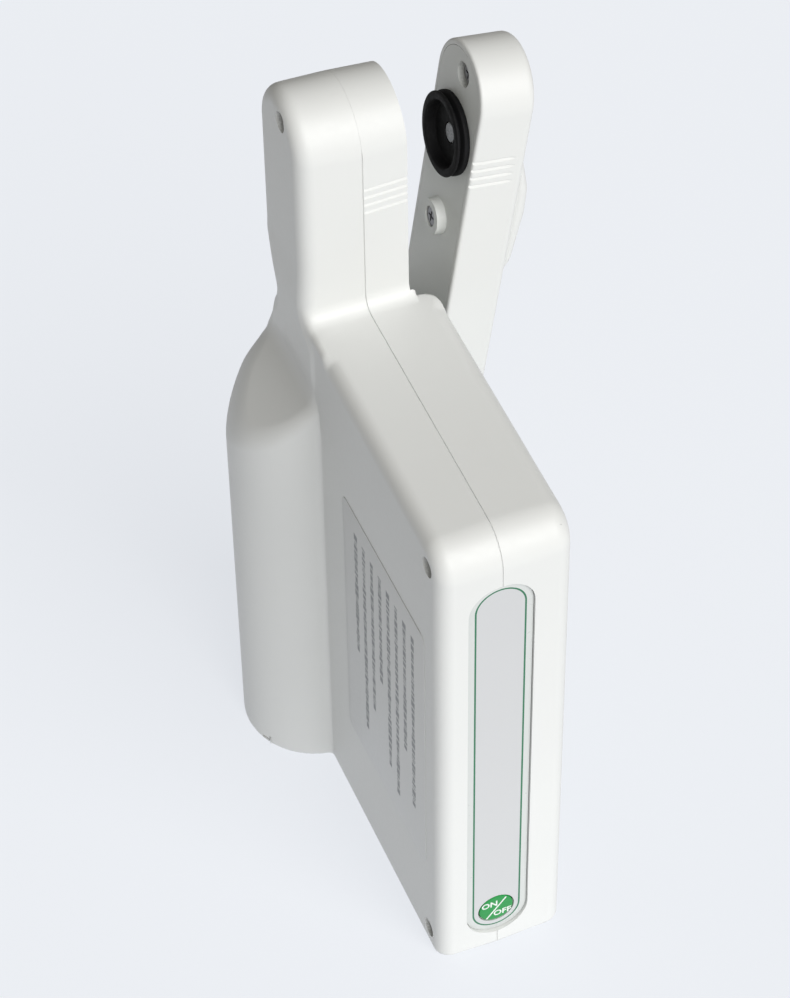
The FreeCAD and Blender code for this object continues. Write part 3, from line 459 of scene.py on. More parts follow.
def put(o, mats, body, nodes=(), fn=None, angle=32.0, swung=False, face_mats=False):
    """materials, smooth shading, metres, and the body it rides on"""
    me = o.data
    n = len(me.vertices)
    v = np.empty(n * 3, np.float32)
    me.vertices.foreach_get("co", v)
    v = v.reshape(-1, 3).astype(float)
    which = np.zeros(len(me.polygons), np.int32)
    if face_mats:
        me.polygons.foreach_get("material_index", which)
    me.materials.clear()
    for m in mats:
        me.materials.append(m)
    me.polygons.foreach_set("material_index", which)
    me.polygons.foreach_set("use_smooth", np.ones(len(me.polygons), bool))
    me.set_sharp_from_angle(angle=math.radians(angle))
    me.update()
    turn = swing(v) if swung else v
    if fn is not None:
        nl = len(me.loops)
        cn = np.empty(nl * 3, np.float32)
        me.corner_normals.foreach_get("vector", cn)
        cn = cn.reshape(-1, 3)
        vi = np.empty(nl, np.int32)
        me.loops.foreach_get("vertex_index", vi)
        ls = np.empty(len(me.polygons), np.int32)
        me.polygons.foreach_get("loop_start", ls)
        fnorm = np.empty(len(me.polygons) * 3, np.float32)
        me.polygons.foreach_get("normal", fnorm)
        fnorm = fnorm.reshape(-1, 3)
        on = np.abs(fn(*v.T)) < 0.02
        g = slope(fn, v, 0.02)
        g /= np.maximum(np.linalg.norm(g, axis=1), 1e-9)[:, None]
        whole = np.logical_and.reduceat(on[vi], ls)
        tot = np.diff(np.append(ls, nl))
        owner = np.repeat(np.arange(len(ls)), tot)
        agree = (fnorm[owner] * g[vi]).sum(1) > 0.88
        use = whole[owner] & agree
        cn[use] = g[vi][use]
        me.vertices.foreach_set("co", (turn * 0.001).astype(np.float32).ravel())
        if swung:
            c, s = math.cos(SWING), math.sin(SWING)
            x, z = cn[:, 0].copy(), cn[:, 2].copy()
            cn[:, 0], cn[:, 2] = x * c + z * s, -x * s + z * c
        me.update()
        me.normals_split_custom_set(cn.astype(float).tolist())
    else:
        me.vertices.foreach_set("co", (turn * 0.001).astype(np.float32).ravel())
        me.update()
    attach(o, body)
    if nodes:
        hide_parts(*nodes)
    return o


# ================================================================ materials
def lin(r, g, b):
    """display colour 0-255 to linear"""
    out = []
    for c in (r, g, b):
        c = c / 255.0
        out.append(c / 12.92 if c <= 0.04045 else ((c + 0.055) / 1.055) ** 2.4)
    return out + [1.0]


class Stuff:
    """a Principled material with helpers for its texture nodes"""

    def __init__(self, name, **sockets):
        self.m = bpy.data.materials.new(name)
        self.m.use_nodes = True
        self.t = self.m.node_tree
        self.b = self.t.nodes["Principled BSDF"]
        for k, v in sockets.items():
            self.b.inputs[k.replace("_", " ")].default_value = v
        self.co = self.t.nodes.new("ShaderNodeTexCoord").outputs["Object"]

    def node(self, kind, **props):
        n = self.t.nodes.new(kind)
        for k, v in props.items():
            setattr(n, k, v)
        return n

    def link(self, a, b):
        self.t.links.new(a, b)

    def noise(self, scale, detail=3.0, rough=0.55, stretch=None):
        n = self.node("ShaderNodeTexNoise")
        n.inputs["Scale"].default_value = scale
        n.inputs["Detail"].default_value = detail
        n.inputs["Roughness"].default_value = rough
        if stretch:
            m = self.node("ShaderNodeMapping")
            m.inputs["Scale"].default_value = stretch
            self.link(self.co, m.inputs["Vector"])
            self.link(m.outputs[0], n.inputs["Vector"])
        else:
            self.link(self.co, n.inputs["Vector"])
        return n.outputs["Fac"]

    def ramp(self, fac, *stops):
        r = self.node("ShaderNodeValToRGB")
        while len(r.color_ramp.elements) < len(stops):
            r.color_ramp.elements.new(0.5)
        for e, (at, col) in zip(r.color_ramp.elements, stops):
            e.position, e.color = at, col
        self.link(fac, r.inputs[0])
        return r.outputs[0]

    def span(self, fac, lo, hi, frm=(0.3, 0.7)):
        r = self.node("ShaderNodeMapRange")
        r.inputs["From Min"].default_value, r.inputs["From Max"].default_value = frm
        r.inputs["To Min"].default_value, r.inputs["To Max"].default_value = lo, hi
        self.link(fac, r.inputs["Value"])
        return r.outputs[0]

    def math(self, op, a, b=None):
        n = self.node("ShaderNodeMath", operation=op)
        for i, s in enumerate((a, b)):
            if s is None:
                continue
            if isinstance(s, (int, float)):
                n.inputs[i].default_value = s
            else:
                self.link(s, n.inputs[i])
        return n.outputs[0]

    def color(self, out):
        self.link(out, self.b.inputs["Base Color"])
        return self

    def rough(self, out):
        self.link(out, self.b.inputs["Roughness"])
        return self

    def bump(self, *layers):
        """layers: (height output, strength, distance in metres)"""
        last = None
        for h, s, d in layers:
            n = self.node("ShaderNodeBump")
            n.inputs["Strength"].default_value = s
            n.inputs["Distance"].default_value = d
            self.link(h, n.inputs["Height"])
            if last:
                self.link(last, n.inputs["Normal"])
            last = n.outputs[0]
        self.link(last, self.b.inputs["Normal"])
        return self


def shades(col, dark, light):
    """two near tones of one linear colour"""
    return [c * dark for c in col[:3]] + [1.0], [min(1.0, c * light) for c in col[:3]] + [1.0]


def plastic(name, col, rough=0.42, grain=0.06, tone=0.02, fine=5200.0, spec=0.5, sss=0.0):
    s = Stuff(name, **{"Specular_IOR_Level": spec})
    if sss:
        s.b.inputs["Subsurface Weight"].default_value = sss
        s.b.inputs["Subsurface Radius"].default_value = (0.0012, 0.0011, 0.001)
        s.b.inputs["Subsurface Scale"].default_value = 1.0
    a, b = shades(col, 1.0 - tone, 1.0 + tone)
    broad, tiny = s.noise(38.0, 3.0), s.noise(fine, 2.0, 0.6)
    mixed = s.math("ADD", s.math("MULTIPLY", broad, 0.75), s.math("MULTIPLY", tiny, 0.25))
    s.color(s.ramp(mixed, (0.3, a), (0.7, b)))
    s.rough(s.span(s.noise(900.0, 4.0), rough - 0.05, rough + 0.06))
    s.bump((s.noise(240.0, 2.0), 0.12, 0.00002), (tiny, grain, 0.00003))
    return s.m


M = {}
M["case"] = plastic("Satin_case_plastic", lin(217, 218, 216), rough=0.46, tone=0.012, grain=0.10)
M["cover"] = plastic("Cover_plastic", lin(212, 214, 211), rough=0.5, tone=0.014, grain=0.12)
M["knob"] = plastic("Trigger_plastic", lin(222, 223, 220), rough=0.4, tone=0.012)
M["strip"] = plastic("Strip_film_grey", lin(194, 195, 196), rough=0.34, grain=0.03, tone=0.008)
M["strip_rim"] = plastic("Strip_film_rim", lin(200, 203, 201), rough=0.32, grain=0.03, tone=0.008)
M["ink_green"] = plastic("Printed_green_line", lin(40, 110, 78), rough=0.38, grain=0.03, tone=0.04)
M["key_green"] = plastic("Power_key_green", lin(22, 138, 62), rough=0.36, grain=0.04, tone=0.05)
M["ink_white"] = plastic("Printed_white", lin(222, 226, 222), rough=0.4, grain=0.03, tone=0.01)
M["ink_dark"] = plastic("Printed_dark_grey", lin(112, 114, 116), rough=0.45, grain=0.03, tone=0.06)
M["ink_label"] = plastic("Label_print_grey", lin(130, 132, 134), rough=0.45, grain=0.01, tone=0.06, fine=9000.0)
M["label"] = plastic("Label_film", lin(206, 207, 206), rough=0.42, grain=0.006, tone=0.01, fine=9000.0)
M["film"] = plastic("Overlay_film", lin(190, 203, 199), rough=0.36, grain=0.05, tone=0.012, fine=7000.0)
M["film_ink"] = plastic("Overlay_print", lin(58, 112, 92), rough=0.36, grain=0.04, tone=0.04)
M["keys"] = plastic("Keypad_rubber", lin(84, 128, 108), rough=0.58, grain=0.16, tone=0.03, fine=4200.0)
M["board"] = None


def board_stuff():
    s = Stuff("Circuit_board", Specular_IOR_Level=0.5)
    tracks = s.node("ShaderNodeTexBrick")
    tracks.inputs["Scale"].default_value = 260.0
    tracks.inputs["Mortar Size"].default_value = 0.03
    tracks.inputs["Color1"].default_value = (0.012, 0.10, 0.045, 1)
    tracks.inputs["Color2"].default_value = (0.014, 0.12, 0.052, 1)
    tracks.inputs["Mortar"].default_value = (0.03, 0.20, 0.09, 1)
    turn = s.node("ShaderNodeMapping")
    turn.inputs["Rotation"].default_value = (0, math.radians(90), 0)
    s.link(s.co, turn.inputs["Vector"])
    s.link(turn.outputs[0], tracks.inputs["Vector"])
    s.color(tracks.outputs["Color"])
    s.rough(s.span(s.noise(1500.0), 0.3, 0.45))
    s.bump((tracks.outputs["Fac"], 0.25, 0.00003))
    return s.m


def metal(name, col, rough, stretch, tone=0.12):
    s = Stuff(name, Metallic=1.0)
    a, b = shades(col, 1 - tone, 1 + tone)
    lines = s.noise(1500.0, 3.0, 0.6, stretch)
    s.color(s.ramp(lines, (0.3, a), (0.7, b)))
    s.rough(s.span(s.noise(2200.0, 3.0), rough - 0.08, rough + 0.1))
    s.bump((lines, 0.12, 0.00002))
    return s.m


def rubber():
    s = Stuff("Soft_black_rubber", Specular_IOR_Level=0.2)
    worn = s.noise(260.0, 4.0, 0.6)
    s.color(s.ramp(worn, (0.3, (0.004, 0.004, 0.0045, 1)), (0.62, (0.007, 0.007, 0.008, 1)), (0.8, (0.013, 0.013, 0.014, 1))))
    s.rough(s.span(s.noise(900.0, 3.0), 0.62, 0.78))
    s.bump((s.noise(3800.0, 3.0), 0.22, 0.00003))
    return s.m


def chip():
    s = Stuff("Moulded_black_package", Specular_IOR_Level=0.4)
    s.color(s.ramp(s.noise(3000.0, 3.0), (0.3, (0.010, 0.010, 0.011, 1)), (0.7, (0.020, 0.020, 0.022, 1))))
    s.rough(s.span(s.noise(1800.0), 0.5, 0.66))
    s.bump((s.noise(5000.0), 0.2, 0.00002))
    return s.m


def display():
    s = Stuff("Reflective_display", Specular_IOR_Level=0.5)
    lines = s.node("ShaderNodeTexWave", wave_type="BANDS", bands_direction="Z")
    lines.inputs["Scale"].default_value = 1300.0
    s.link(s.co, lines.inputs["Vector"])
    s.color(s.ramp(s.math("ADD", s.math("MULTIPLY", lines.outputs["Fac"], 0.25), s.math("MULTIPLY", s.noise(60.0), 0.75)),
                   (0.25, lin(142, 152, 138)), (0.75, lin(150, 160, 146))))
    s.rough(s.span(s.noise(700.0), 0.32, 0.4))
    s.bump((s.noise(6000.0), 0.05, 0.00001))
    return s.m


def clear(name, col, rough):
    s = Stuff(name, IOR=1.46)
    s.b.inputs["Transmission Weight"].default_value = 0.92
    s.color(s.ramp(s.noise(90.0), (0.3, [c * 0.97 for c in col[:3]] + [1]), (0.7, col)))
    s.rough(s.span(s.noise(500.0), rough, rough + 0.05))
    return s.m


def frosted(name, col):
    s = Stuff(name, Specular_IOR_Level=0.6)
    s.b.inputs["Transmission Weight"].default_value = 0.12
    a, b = shades(col, 0.92, 1.06)
    s.color(s.ramp(s.noise(1400.0), (0.3, a), (0.7, b)))
    s.rough(s.span(s.noise(900.0), 0.16, 0.3))
    s.bump((s.noise(2500.0), 0.06, 0.00002))
    return s.m


def sleeve():
    """cell sleeve: dark body, pale band and bare metal ends, by height"""
    s = Stuff("Cell_sleeve", Specular_IOR_Level=0.5)
    sep = s.node("ShaderNodeSeparateXYZ")
    s.link(s.co, sep.inputs[0])
    r = s.node("ShaderNodeMapRange")
    r.inputs["From Min"].default_value, r.inputs["From Max"].default_value = 0.0033, 0.0537
    s.link(sep.outputs["Z"], r.inputs["Value"])
    ramp = s.node("ShaderNodeValToRGB")
    ramp.color_ramp.interpolation = "CONSTANT"
    e = ramp.color_ramp.elements
    e[0].position, e[0].color = 0.0, lin(186, 186, 182)
    e[1].position, e[1].color = 0.02, lin(46, 60, 84)
    for at, col in ((0.64, lin(196, 198, 200)), (0.68, lin(46, 60, 84)), (0.955, lin(190, 190, 186))):
        q = e.new(at)
        q.color = col
    s.link(r.outputs[0], ramp.inputs[0])
    mix = s.node("ShaderNodeMix", data_type="RGBA", blend_type="MULTIPLY")
    mix.inputs[0].default_value = 1.0
    s.link(ramp.outputs[0], mix.inputs[6])
    s.link(s.ramp(s.noise(300.0), (0.3, (0.9, 0.9, 0.9, 1)), (0.7, (1, 1, 1, 1))), mix.inputs[7])
    s.color(mix.outputs[2])
    s.rough(s.span(s.noise(800.0), 0.26, 0.4))
    s.bump((s.noise(1600.0), 0.06, 0.00002))
    return s.m


def ribbon():
    s = Stuff("Polyimide_ribbon", Specular_IOR_Level=0.5)
    w = s.node("ShaderNodeTexWave", wave_type="BANDS", bands_direction="Y")
    w.inputs["Scale"].default_value = 420.0
    s.link(s.co, w.inputs["Vector"])
    s.color(s.ramp(w.outputs["Fac"], (0.45, lin(150, 92, 34)), (0.55, lin(186, 124, 58))))
    s.rough(s.span(s.noise(800.0), 0.3, 0.42))
    s.bump((w.outputs["Fac"], 0.2, 0.00003))
    return s.m


M["board"] = board_stuff()
M["screw"] = metal("Zinc_plated_screw", lin(128, 128, 130), 0.36, (1, 6, 6))
M["spring"] = metal("Spring_wire", lin(150, 150, 152), 0.3, (5, 5, 1))
M["nickel"] = metal("Nickel_contact", lin(196, 192, 182), 0.24, (1, 6, 1))
M["rubber"] = rubber()
M["chip"] = chip()
M["lcd"] = display()
M["glass"] = clear("Clear_window", lin(236, 240, 240), 0.04)
M["lens"] = frosted("Frosted_lens", lin(124, 126, 128))
M["lamp"] = frosted("Lamp_body", lin(198, 190, 186))
M["cell"] = sleeve()
M["ribbon"] = ribbon()

CARRIED = {
    "housing_screws": "screw", "board_screws": "screw", "side_board": "board", "power_switch": "chip", "battery_door": "case",
    "aa_cells": "cell", "door_contact": "nickel", "contact_carrier": "chip", "battery_springs": "nickel", "main_board": "board",
    "board_chips": "chip", "lcd_module": "lcd", "key_switches": "chip", "receiver_window": "lens", "photodiode": "chip",
    "receiver_board": "board", "trigger_plunger": "knob", "trigger_switch": "chip", "hinge_pin": "screw", "return_spring": "spring",
    "arm_cover": "cover", "arm_screws": "screw", "emitter_window": "lens", "emitter_leds": "lamp", "emitter_board": "board",
    "arm_ribbon": "ribbon", "front_overlay": "film", "lcd_window": "glass", "stop_boss": "cover",
}
for node, key in CARRIED.items():
    me = NODES[node].data
    me.materials.clear()
    me.materials.append(M[key])

# ================================================================ housing: two shells
INNER = Path([(-40.8, 2.2, 1.0), (41.3, 2.2, 1.0), (41.3, 97.6, 1.0), (32.4, 112.6, 1.0), (38.0, 125.6, 1.0), (38.0, 162.0, 8.3),
              (21.4, 162.0, 8.3), (21.4, 115.4, 1.0), (-40.8, 113.4, 4.0)]).points
WELLS = [(-38.0, 109.8), (-37.8, 4.4), (27.8, 159.2), (-0.5, 67.8), (-0.5, 27.0)]


def union(base, parts):
    o = shown(base, "union")
    for p in parts:
        carve(o, p, "UNION")
    me = o.data
    bpy.data.objects.remove(o)
    return me


def strip_cuts(o):
    carve(o, slab(pill(0, 10.4, 0, 98.7, 6.44), "Y", [(-45.0, 0.0), (-42.25, 0.0)]))
    carve(o, prism(ring_pts(0, 10.5, 3.75, 64), "Y", -44.0, -39.9))


def door_cuts(o):
    tee = [(-23.05, -1.0), (6.55, -1.0), (6.55, 0.7), (7.45, 0.7), (7.45, 1.5), (6.55, 1.5), (6.55, 2.3),
           (-23.05, 2.3), (-23.05, 1.5), (-23.85, 1.5), (-23.85, 0.7), (-23.05, 0.7)]
    carve(o, prism(tee, "Y", 20.65, 60.0))


v, q = nets(housing, (-26.0, -45.0, -1.2), (15.6, 45.0, 165.6), 0.62)
whole = shown(mesh_of(v, q), "whole")
thin_out(whole, 0.34)
vv = np.empty(len(whole.data.vertices) * 3, np.float32)
whole.data.vertices.foreach_get("co", vv)
vv = settle(housing, vv.reshape(-1, 3).astype(float), 2, 0.1)
whole.data.vertices.foreach_set("co", vv.astype(np.float32).ravel())
whole.data.update()

# shallow seam line round both shells
rings = [turned(Path(HOUSE_STEPS[:0] + [(-43.5, -1.0, 0), (43.3, -1.0, 0)] + HOUSE_STEPS[2:], inset=i).points, "X", x)
         for x, i in ((-0.115, -0.6), (-0.115, 0.01), (-0.03, 0.17), (0.03, 0.17), (0.115, 0.01), (0.115, -0.6))]
carve(whole, stack(rings, closed=False))

# sharp step down to the mating face
carve(whole, box_mesh((8.7, 30.0), (19.12, 60.0), (-5.0, 180.0)))
strip_cuts(whole)

back = whole
front = shown(whole.data.copy(), "front")
carve(back, box_mesh((-0.01, 40.0), (-60.0, 60.0), (-5.0, 180.0)))
carve(front, box_mesh((-40.0, 0.01), (-60.0, 60.0), (-5.0, 180.0)))

carve(back, prism(INNER, "X", -10.1, 1.0))
carve(back, prism(ring_pts(-9.85, 28.35, 13.1, 72), "Z", 2.2, 86.0))
for (wy, wz) in WELLS:
    r, x0 = (2.9, -10.3) if wz > 150 else (3.3, -10.6)
    carve(back, prism(ring_pts(wy, wz, r, 40), "X", x0, -0.02), "UNION")
for wy, wz in WELLS:
    carve(back, prism(ring_pts(wy, wz, 2.0, 48), "X", -20.0, -7.5))
    carve(back, prism(ring_pts(wy, wz, 1.4, 24), "X", -8.0, 1.0))
# wall between the battery bay and the boards
carve(back, box_mesh((-12.0, -0.02), (18.9, 20.1), (1.0, 100.0)), "UNION")
door_cuts(back)

carve(front, prism(INNER, "X", -1.0, 6.7))
carve(front, box_mesh((-1.0, 12.2), (-40.8, 17.1), (2.2, 113.3)))
carve(front, box_mesh((0.8, 8.2), (16.6, 42.0), (63.5, 83.0)), "UNION")
carve(front, box_mesh((0.02, 8.2), (18.9, 20.1), (1.0, 63.6)), "UNION")
for wy, wz in WELLS:
    r, x1 = (2.9, 7.0) if wz > 150 else (3.15, 12.3)
    carve(front, prism(ring_pts(wy, wz, r, 40), "X", 0.02, x1), "UNION")
    carve(front, prism(ring_pts(wy, wz, 1.15, 24), "X", -1.0, 5.5))
carve(front, box_mesh((2.4, 20.0), (19.6, 39.2), (66.0, 80.0)))
carve(front, slab([(-38.2, 12.0, 3.0), (13.8, 12.0, 3.0), (13.8, 106.0, 3.0), (-38.2, 106.0, 3.0)], "X", [(13.7, 0.0), (20.0, 0.0)]))
carve(front, slab([(-32.7, 72.0, 1.0), (8.3, 72.0, 1.0), (8.3, 96.0, 1.0), (-32.7, 96.0, 1.0)], "X", [(11.0, 0.0), (20.0, 0.0)]))
KEYS = {"key_up": (-23.2, 58.0), "key_down": (-23.2, 38.0), "key_back": (-1.2, 58.0), "key_enter": (-1.2, 38.0)}
for ky, kz in KEYS.values():
    carve(front, slab(pill(ky - 2.0, kz, ky + 2.0, kz, 4.2), "X", [(11.0, 0.0), (20.0, 0.0)]))
carve(front, stack([turned(ring_pts(29.3, 145.75, 3.05, 56), "X", 6.0), turned(ring_pts(29.3, 145.75, 3.05, 56), "X", 8.5),
                    turned(ring_pts(29.3, 145.75, 3.3, 56), "X", 8.75), turned(ring_pts(29.3, 145.75, 3.3, 56), "X", 12.0)]))
carve(front, stack([turned(ring_pts(29.3, 126.5, 1.82, 40), "X", 6.0), turned(ring_pts(29.3, 126.5, 1.82, 40), "X", 8.55),
                    turned(ring_pts(29.3, 126.5, 2.0, 40), "X", 8.75), turned(ring_pts(29.3, 126.5, 2.0, 40), "X", 12.0)]))
door_cuts(front)
carve(front, prism(ring_pts(6.5, 73.0, 1.03, 36), "Y", 17.4, 60.0))


def groove_cutters(y0, sg, lean, levels):
    """four shallow V grooves on a side face: sg is the way into the case, levels are (x, lift out of the face)"""
    out = []
    for k in range(4):
        gz = 140.4 + 1.76 * k
        loops = []
        for x, lift in levels:
            y = y0 + sg * (lean * x - lift)
            pts = [(y - sg * 1.0, gz - 0.52), (y, gz - 0.42), (y + sg * 0.26, gz - 0.24), (y + sg * 0.36, gz), (y + sg * 0.26, gz + 0.24),
                   (y, gz + 0.42), (y - sg * 1.0, gz + 0.52)]
            loops.append(turned(pts[::sg], "X", x))
        out.append(stack(loops))
    return out


CASE_LEVELS = [(0.2, 0.0), (12.0, 0.0)]
for c in groove_cutters(19.4, 1, TAN2, CASE_LEVELS) + groove_cutters(40.0, -1, TAN2, CASE_LEVELS):
    carve(front, c)

back.name, front.name = "Back_case_half", "Front_case_half"
put(back, [M["case"]], "housing", ["back_shell"], housing)
put(front, [M["case"]], "housing", ["front_shell"], housing)

# ================================================================ clamp arm
v, q = nets(arm_form, (1.6, 18.6, 68.4), (23.2, 40.0, 166.0), 0.42)
arm = shown(mesh_of(v, q), "Clamp_arm_case")
thin_out(arm, 0.4)
vv = np.empty(len(arm.data.vertices) * 3, np.float32)
arm.data.vertices.foreach_get("co", vv)
vv = settle(arm_form, vv.reshape(-1, 3).astype(float), 2, 0.1)
arm.data.vertices.foreach_set("co", vv.astype(np.float32).ravel())
arm.data.update()
for y0, y1, x1 in ((15.0, 20.0, 9.4), (38.8, 45.0, 9.4), (25.4, 33.4, 10.3)):
    carve(arm, box_mesh((0.0, x1), (y0, y1), (60.0, 78.2)))
carve(arm, prism(ring_pts(6.5, 73.0, 1.06, 36), "Y", 10.0, 50.0))


def bar(near, far, low, rad):
    return [(near, low, 0.4), (far, low, 0.4), (far, 155.05 + rad, rad), (near, 155.05 + rad, rad)]


carve(arm, slab(bar(20.82, 37.78, 83.95, 8.48), "X", [(12.62, 0.0), (10.99, 0.0), (10.85, -0.14), (5.0, -0.14)]))
carve(arm, slab(bar(21.6, 37.0, 86.0, 7.7), "X", [(20.2, 0.0), (12.0, 0.0)]))
for py, pz, px in ((28.7, 159.2, 14.3), (29.2, 126.5, 12.7)):
    carve(arm, prism(ring_pts(py, pz, 2.4, 32), "X", px, 20.6), "UNION")
    carve(arm, prism(ring_pts(py, pz, 1.0, 24), "X", 12.0, 19.6))
ARM_LEVELS = [(5.0, 0.0), (18.4, 0.0), (20.2, 0.45)]
for c in groove_cutters(19.75, 1, 0.0, ARM_LEVELS) + groove_cutters(38.85, -1, 0.0, ARM_LEVELS):
    carve(arm, c)
put(arm, [M["case"]], "clamp_arm", ["arm_shell"], arm_form, swung=True)

v, q = nets(thumb_form, (20.6, 20.4, 114.8), (26.0, 38.2, 144.8), 0.3)
thumb = shown(mesh_of(v, q), "Thumb_pad")
thin_out(thumb, 0.45)
carve(thumb, box_mesh((10.0, 21.87), (10.0, 50.0), (100.0, 160.0)))
put(thumb, [M["case"]], "clamp_arm", ["thumb_pad"], thumb_form, swung=True)


# rubber light seal: bellows with two lips, a groove between them and a cupped mouth
def soften(profile, r, n=4):
    """rounds the corners of a closed profile"""
    out = []
    k = len(profile)
    for i in range(k):
        p0, p1, p2 = (np.array(profile[(i + d) % k], float) for d in (-1, 0, 1))
        a, b = p0 - p1, p2 - p1
        la, lb = np.hypot(*a), np.hypot(*b)
        c = min(r, 0.45 * la, 0.45 * lb)
        s, e = p1 + a / la * c, p1 + b / lb * c
        for j in range(n + 1):
            t = j / n
            out.append(tuple((1 - t) ** 2 * s + 2 * t * (1 - t) * p1 + t * t * e))
    return out


cup_profile = soften([(10.98, 1.95), (10.98, 7.9), (9.95, 7.98), (9.72, 7.3), (9.5, 6.8), (9.28, 6.9), (9.08, 7.8), (8.62, 8.0),
                      (8.42, 7.6), (8.4, 6.9), (8.46, 6.45), (8.9, 6.25), (10.38, 6.02), (10.5, 5.6), (10.5, 1.95)], 0.24)
v, q = lathe(cup_profile, 112)
v = v + np.array((0.0, 29.3, 145.75))
cup = shown(mesh_of(v, q), "Rubber_light_seal")
put(cup, [M["rubber"]], "clamp_arm", ["rubber_eyecup"], swung=True, angle=60.0)


# ================================================================ printed film on the narrow side
def flat_ring(outer, inner, axis, at):
    """flat zone between two outlines, as triangles"""
    loops = [turned(outer, axis, at)] + ([turned(inner, axis, at)] if inner else [])
    tri = tessellate_polygon([[Vector(p) for p in lp] for lp in loops])
    return np.concatenate(loops), [tuple(t) for t in tri]


def face_out(v, tris, way):
    """triangles turned to face the direction way"""
    out = []
    for t in tris:
        a, b, c = v[t[0]], v[t[1]], v[t[2]]
        n = np.cross(b - a, c - a)
        out.append(t if float(np.dot(n, way)) > 0 else t[::-1])
    return out


def join_flat(zones, name):
    """one mesh of several zones: (vertices, faces, material index)"""
    vs, fs, ms, k = [], [], [], 0
    for v_, f_, m_ in zones:
        vs.append(v_)
        fs += [tuple(i + k for i in f) for f in f_]
        ms += [m_] * len(f_)
        k += len(v_)
    me = mesh_of(np.concatenate(vs), fs, name)
    me.polygons.foreach_set("material_index", np.array(ms, np.int32))
    return me


strip_levels = [(-42.25, 0.0), (-42.62, 0.0), (-42.71, 0.04), (-42.75, 0.14)]
CAP = {r: Path(pill(0, 10.4, 0, 98.7, r), fine=4.0).points for r in (6.36, 6.32, 6.22, 5.02, 4.66)}
hole = ring_pts(0, 10.5, 3.8, 64)
rings = [turned(CAP[6.36], "Y", -42.25), turned(CAP[6.36], "Y", -42.62), turned(CAP[6.32], "Y", -42.71), turned(CAP[6.22], "Y", -42.75)]
zones = []
n = len(CAP[6.36])
rv = np.concatenate(rings)
rf = []
for k in range(3):
    for i in range(n):
        j = (i + 1) % n
        a = (k * n + i, k * n + j, (k + 1) * n + j, (k + 1) * n + i)
        rf.append(a)
mid = rv[[rf[0][0], rf[0][1], rf[0][2]]]
nn = np.cross(mid[1] - mid[0], mid[2] - mid[0])
outward = rv[rf[0][0]] - np.array((0.0, rv[rf[0][0]][1], 54.5))
if float(np.dot(nn, outward)) < 0:
    rf = [f[::-1] for f in rf]
zones.append((rv, rf, 0))
FRONT_WAY = np.array((0.0, -1.0, 0.0))
for outer, inner, mi in ((CAP[6.22], CAP[5.02], 0), (CAP[5.02], CAP[4.66], 1), (CAP[4.66], hole, 2)):
    v_, t_ = flat_ring(outer, inner, "Y", -42.75)
    zones.append((v_, face_out(v_, t_, FRONT_WAY), mi))
v_, t_ = flat_ring(CAP[6.36], hole, "Y", -42.25)
zones.append((v_, face_out(v_, t_, -FRONT_WAY), 0))
hv = np.concatenate([turned(hole, "Y", -42.75), turned(hole, "Y", -42.25)])
hf = []
for i in range(64):
    j = (i + 1) % 64
    f = (i, j, 64 + j, 64 + i)
    a, b, c = hv[f[0]], hv[f[1]], hv[f[2]]
    inward = np.array((0.0, a[1], 10.5)) - a
    hf.append(f if float(np.dot(np.cross(b - a, c - a), inward)) > 0 else f[::-1])
zones.append((hv, hf, 2))
strip = shown(join_flat(zones, "strip"), "Side_strip_film")
bm_me = strip.data
import bmesh
bm = bmesh.new()
bm.from_mesh(bm_me)
bmesh.ops.remove_doubles(bm, verts=bm.verts, dist=1e-4)
bm.to_mesh(bm_me)
bm.free()
put(strip, [M["strip_rim"], M["ink_green"], M["strip"]], "housing", ["side_strip"], face_mats=True)

# power key: green disc with a slightly crowned face, white stroke and the two words
key_rings = [turned(ring_pts(0, 10.5, r, 72), "Y", y) for y, r in
             ((-39.75, 1.2), (-40.1, 1.2), (-40.6, 1.2), (-40.62, 3.56), (-42.60, 3.56), (-42.74, 3.50), (-42.80, 3.38), (-42.815, 3.0), (-42.82, 1.6), (-42.82, 0.6))]
key = shown(stack(key_rings), "Power_key_cap")
put(key, [M["key_green"]], "power_button", ["power_key"], angle=40.0)


def word(text, size, at, name, body, mat, turn=None, thick=0.012, bold=0.02):
    """flat lettering as a mesh; at is the middle of the word in mm"""
    cu = bpy.data.curves.new("word", "FONT")
    cu.body = text
    cu.size = size
    cu.align_x, cu.align_y = "CENTER", "CENTER"
    cu.offset = bold
    cu.extrude = thick
    cu.resolution_u = 3
    o = shown(cu, "word")
    dg = bpy.context.evaluated_depsgraph_get()
    me = bpy.data.meshes.new_from_object(o.evaluated_get(dg))
    bpy.data.objects.remove(o)
    bpy.data.curves.remove(cu)
    me.transform(turn)
    me.transform(Matrix.Translation(at))
    o = shown(me, name)
    return put(o, [mat], body, ())


STAND = Matrix.Rotation(math.radians(90), 4, "X")
word("ON", 2.15, (-1.4, -42.825, 11.95), "Power_key_word_on", "power_button", M["ink_white"], STAND, bold=0.05)
word("OFF", 2.15, (1.3, -42.825, 8.85), "Power_key_word_off", "power_button", M["ink_white"], STAND, bold=0.05)
a = math.radians(52)
s_, c_ = math.sin(a), math.cos(a)
bar_pts = [(-3.33 * c_ - 0.17 * s_, 10.5 - 3.33 * s_ + 0.17 * c_), (-3.33 * c_ + 0.17 * s_, 10.5 - 3.33 * s_ - 0.17 * c_),
           (3.33 * c_ + 0.17 * s_, 10.5 + 3.33 * s_ - 0.17 * c_), (3.33 * c_ - 0.17 * s_, 10.5 + 3.33 * s_ + 0.17 * c_)]
stroke = shown(prism(bar_pts, "Y", -42.84, -42.78), "Power_key_stroke")
put(stroke, [M["ink_white"]], "power_button", ())

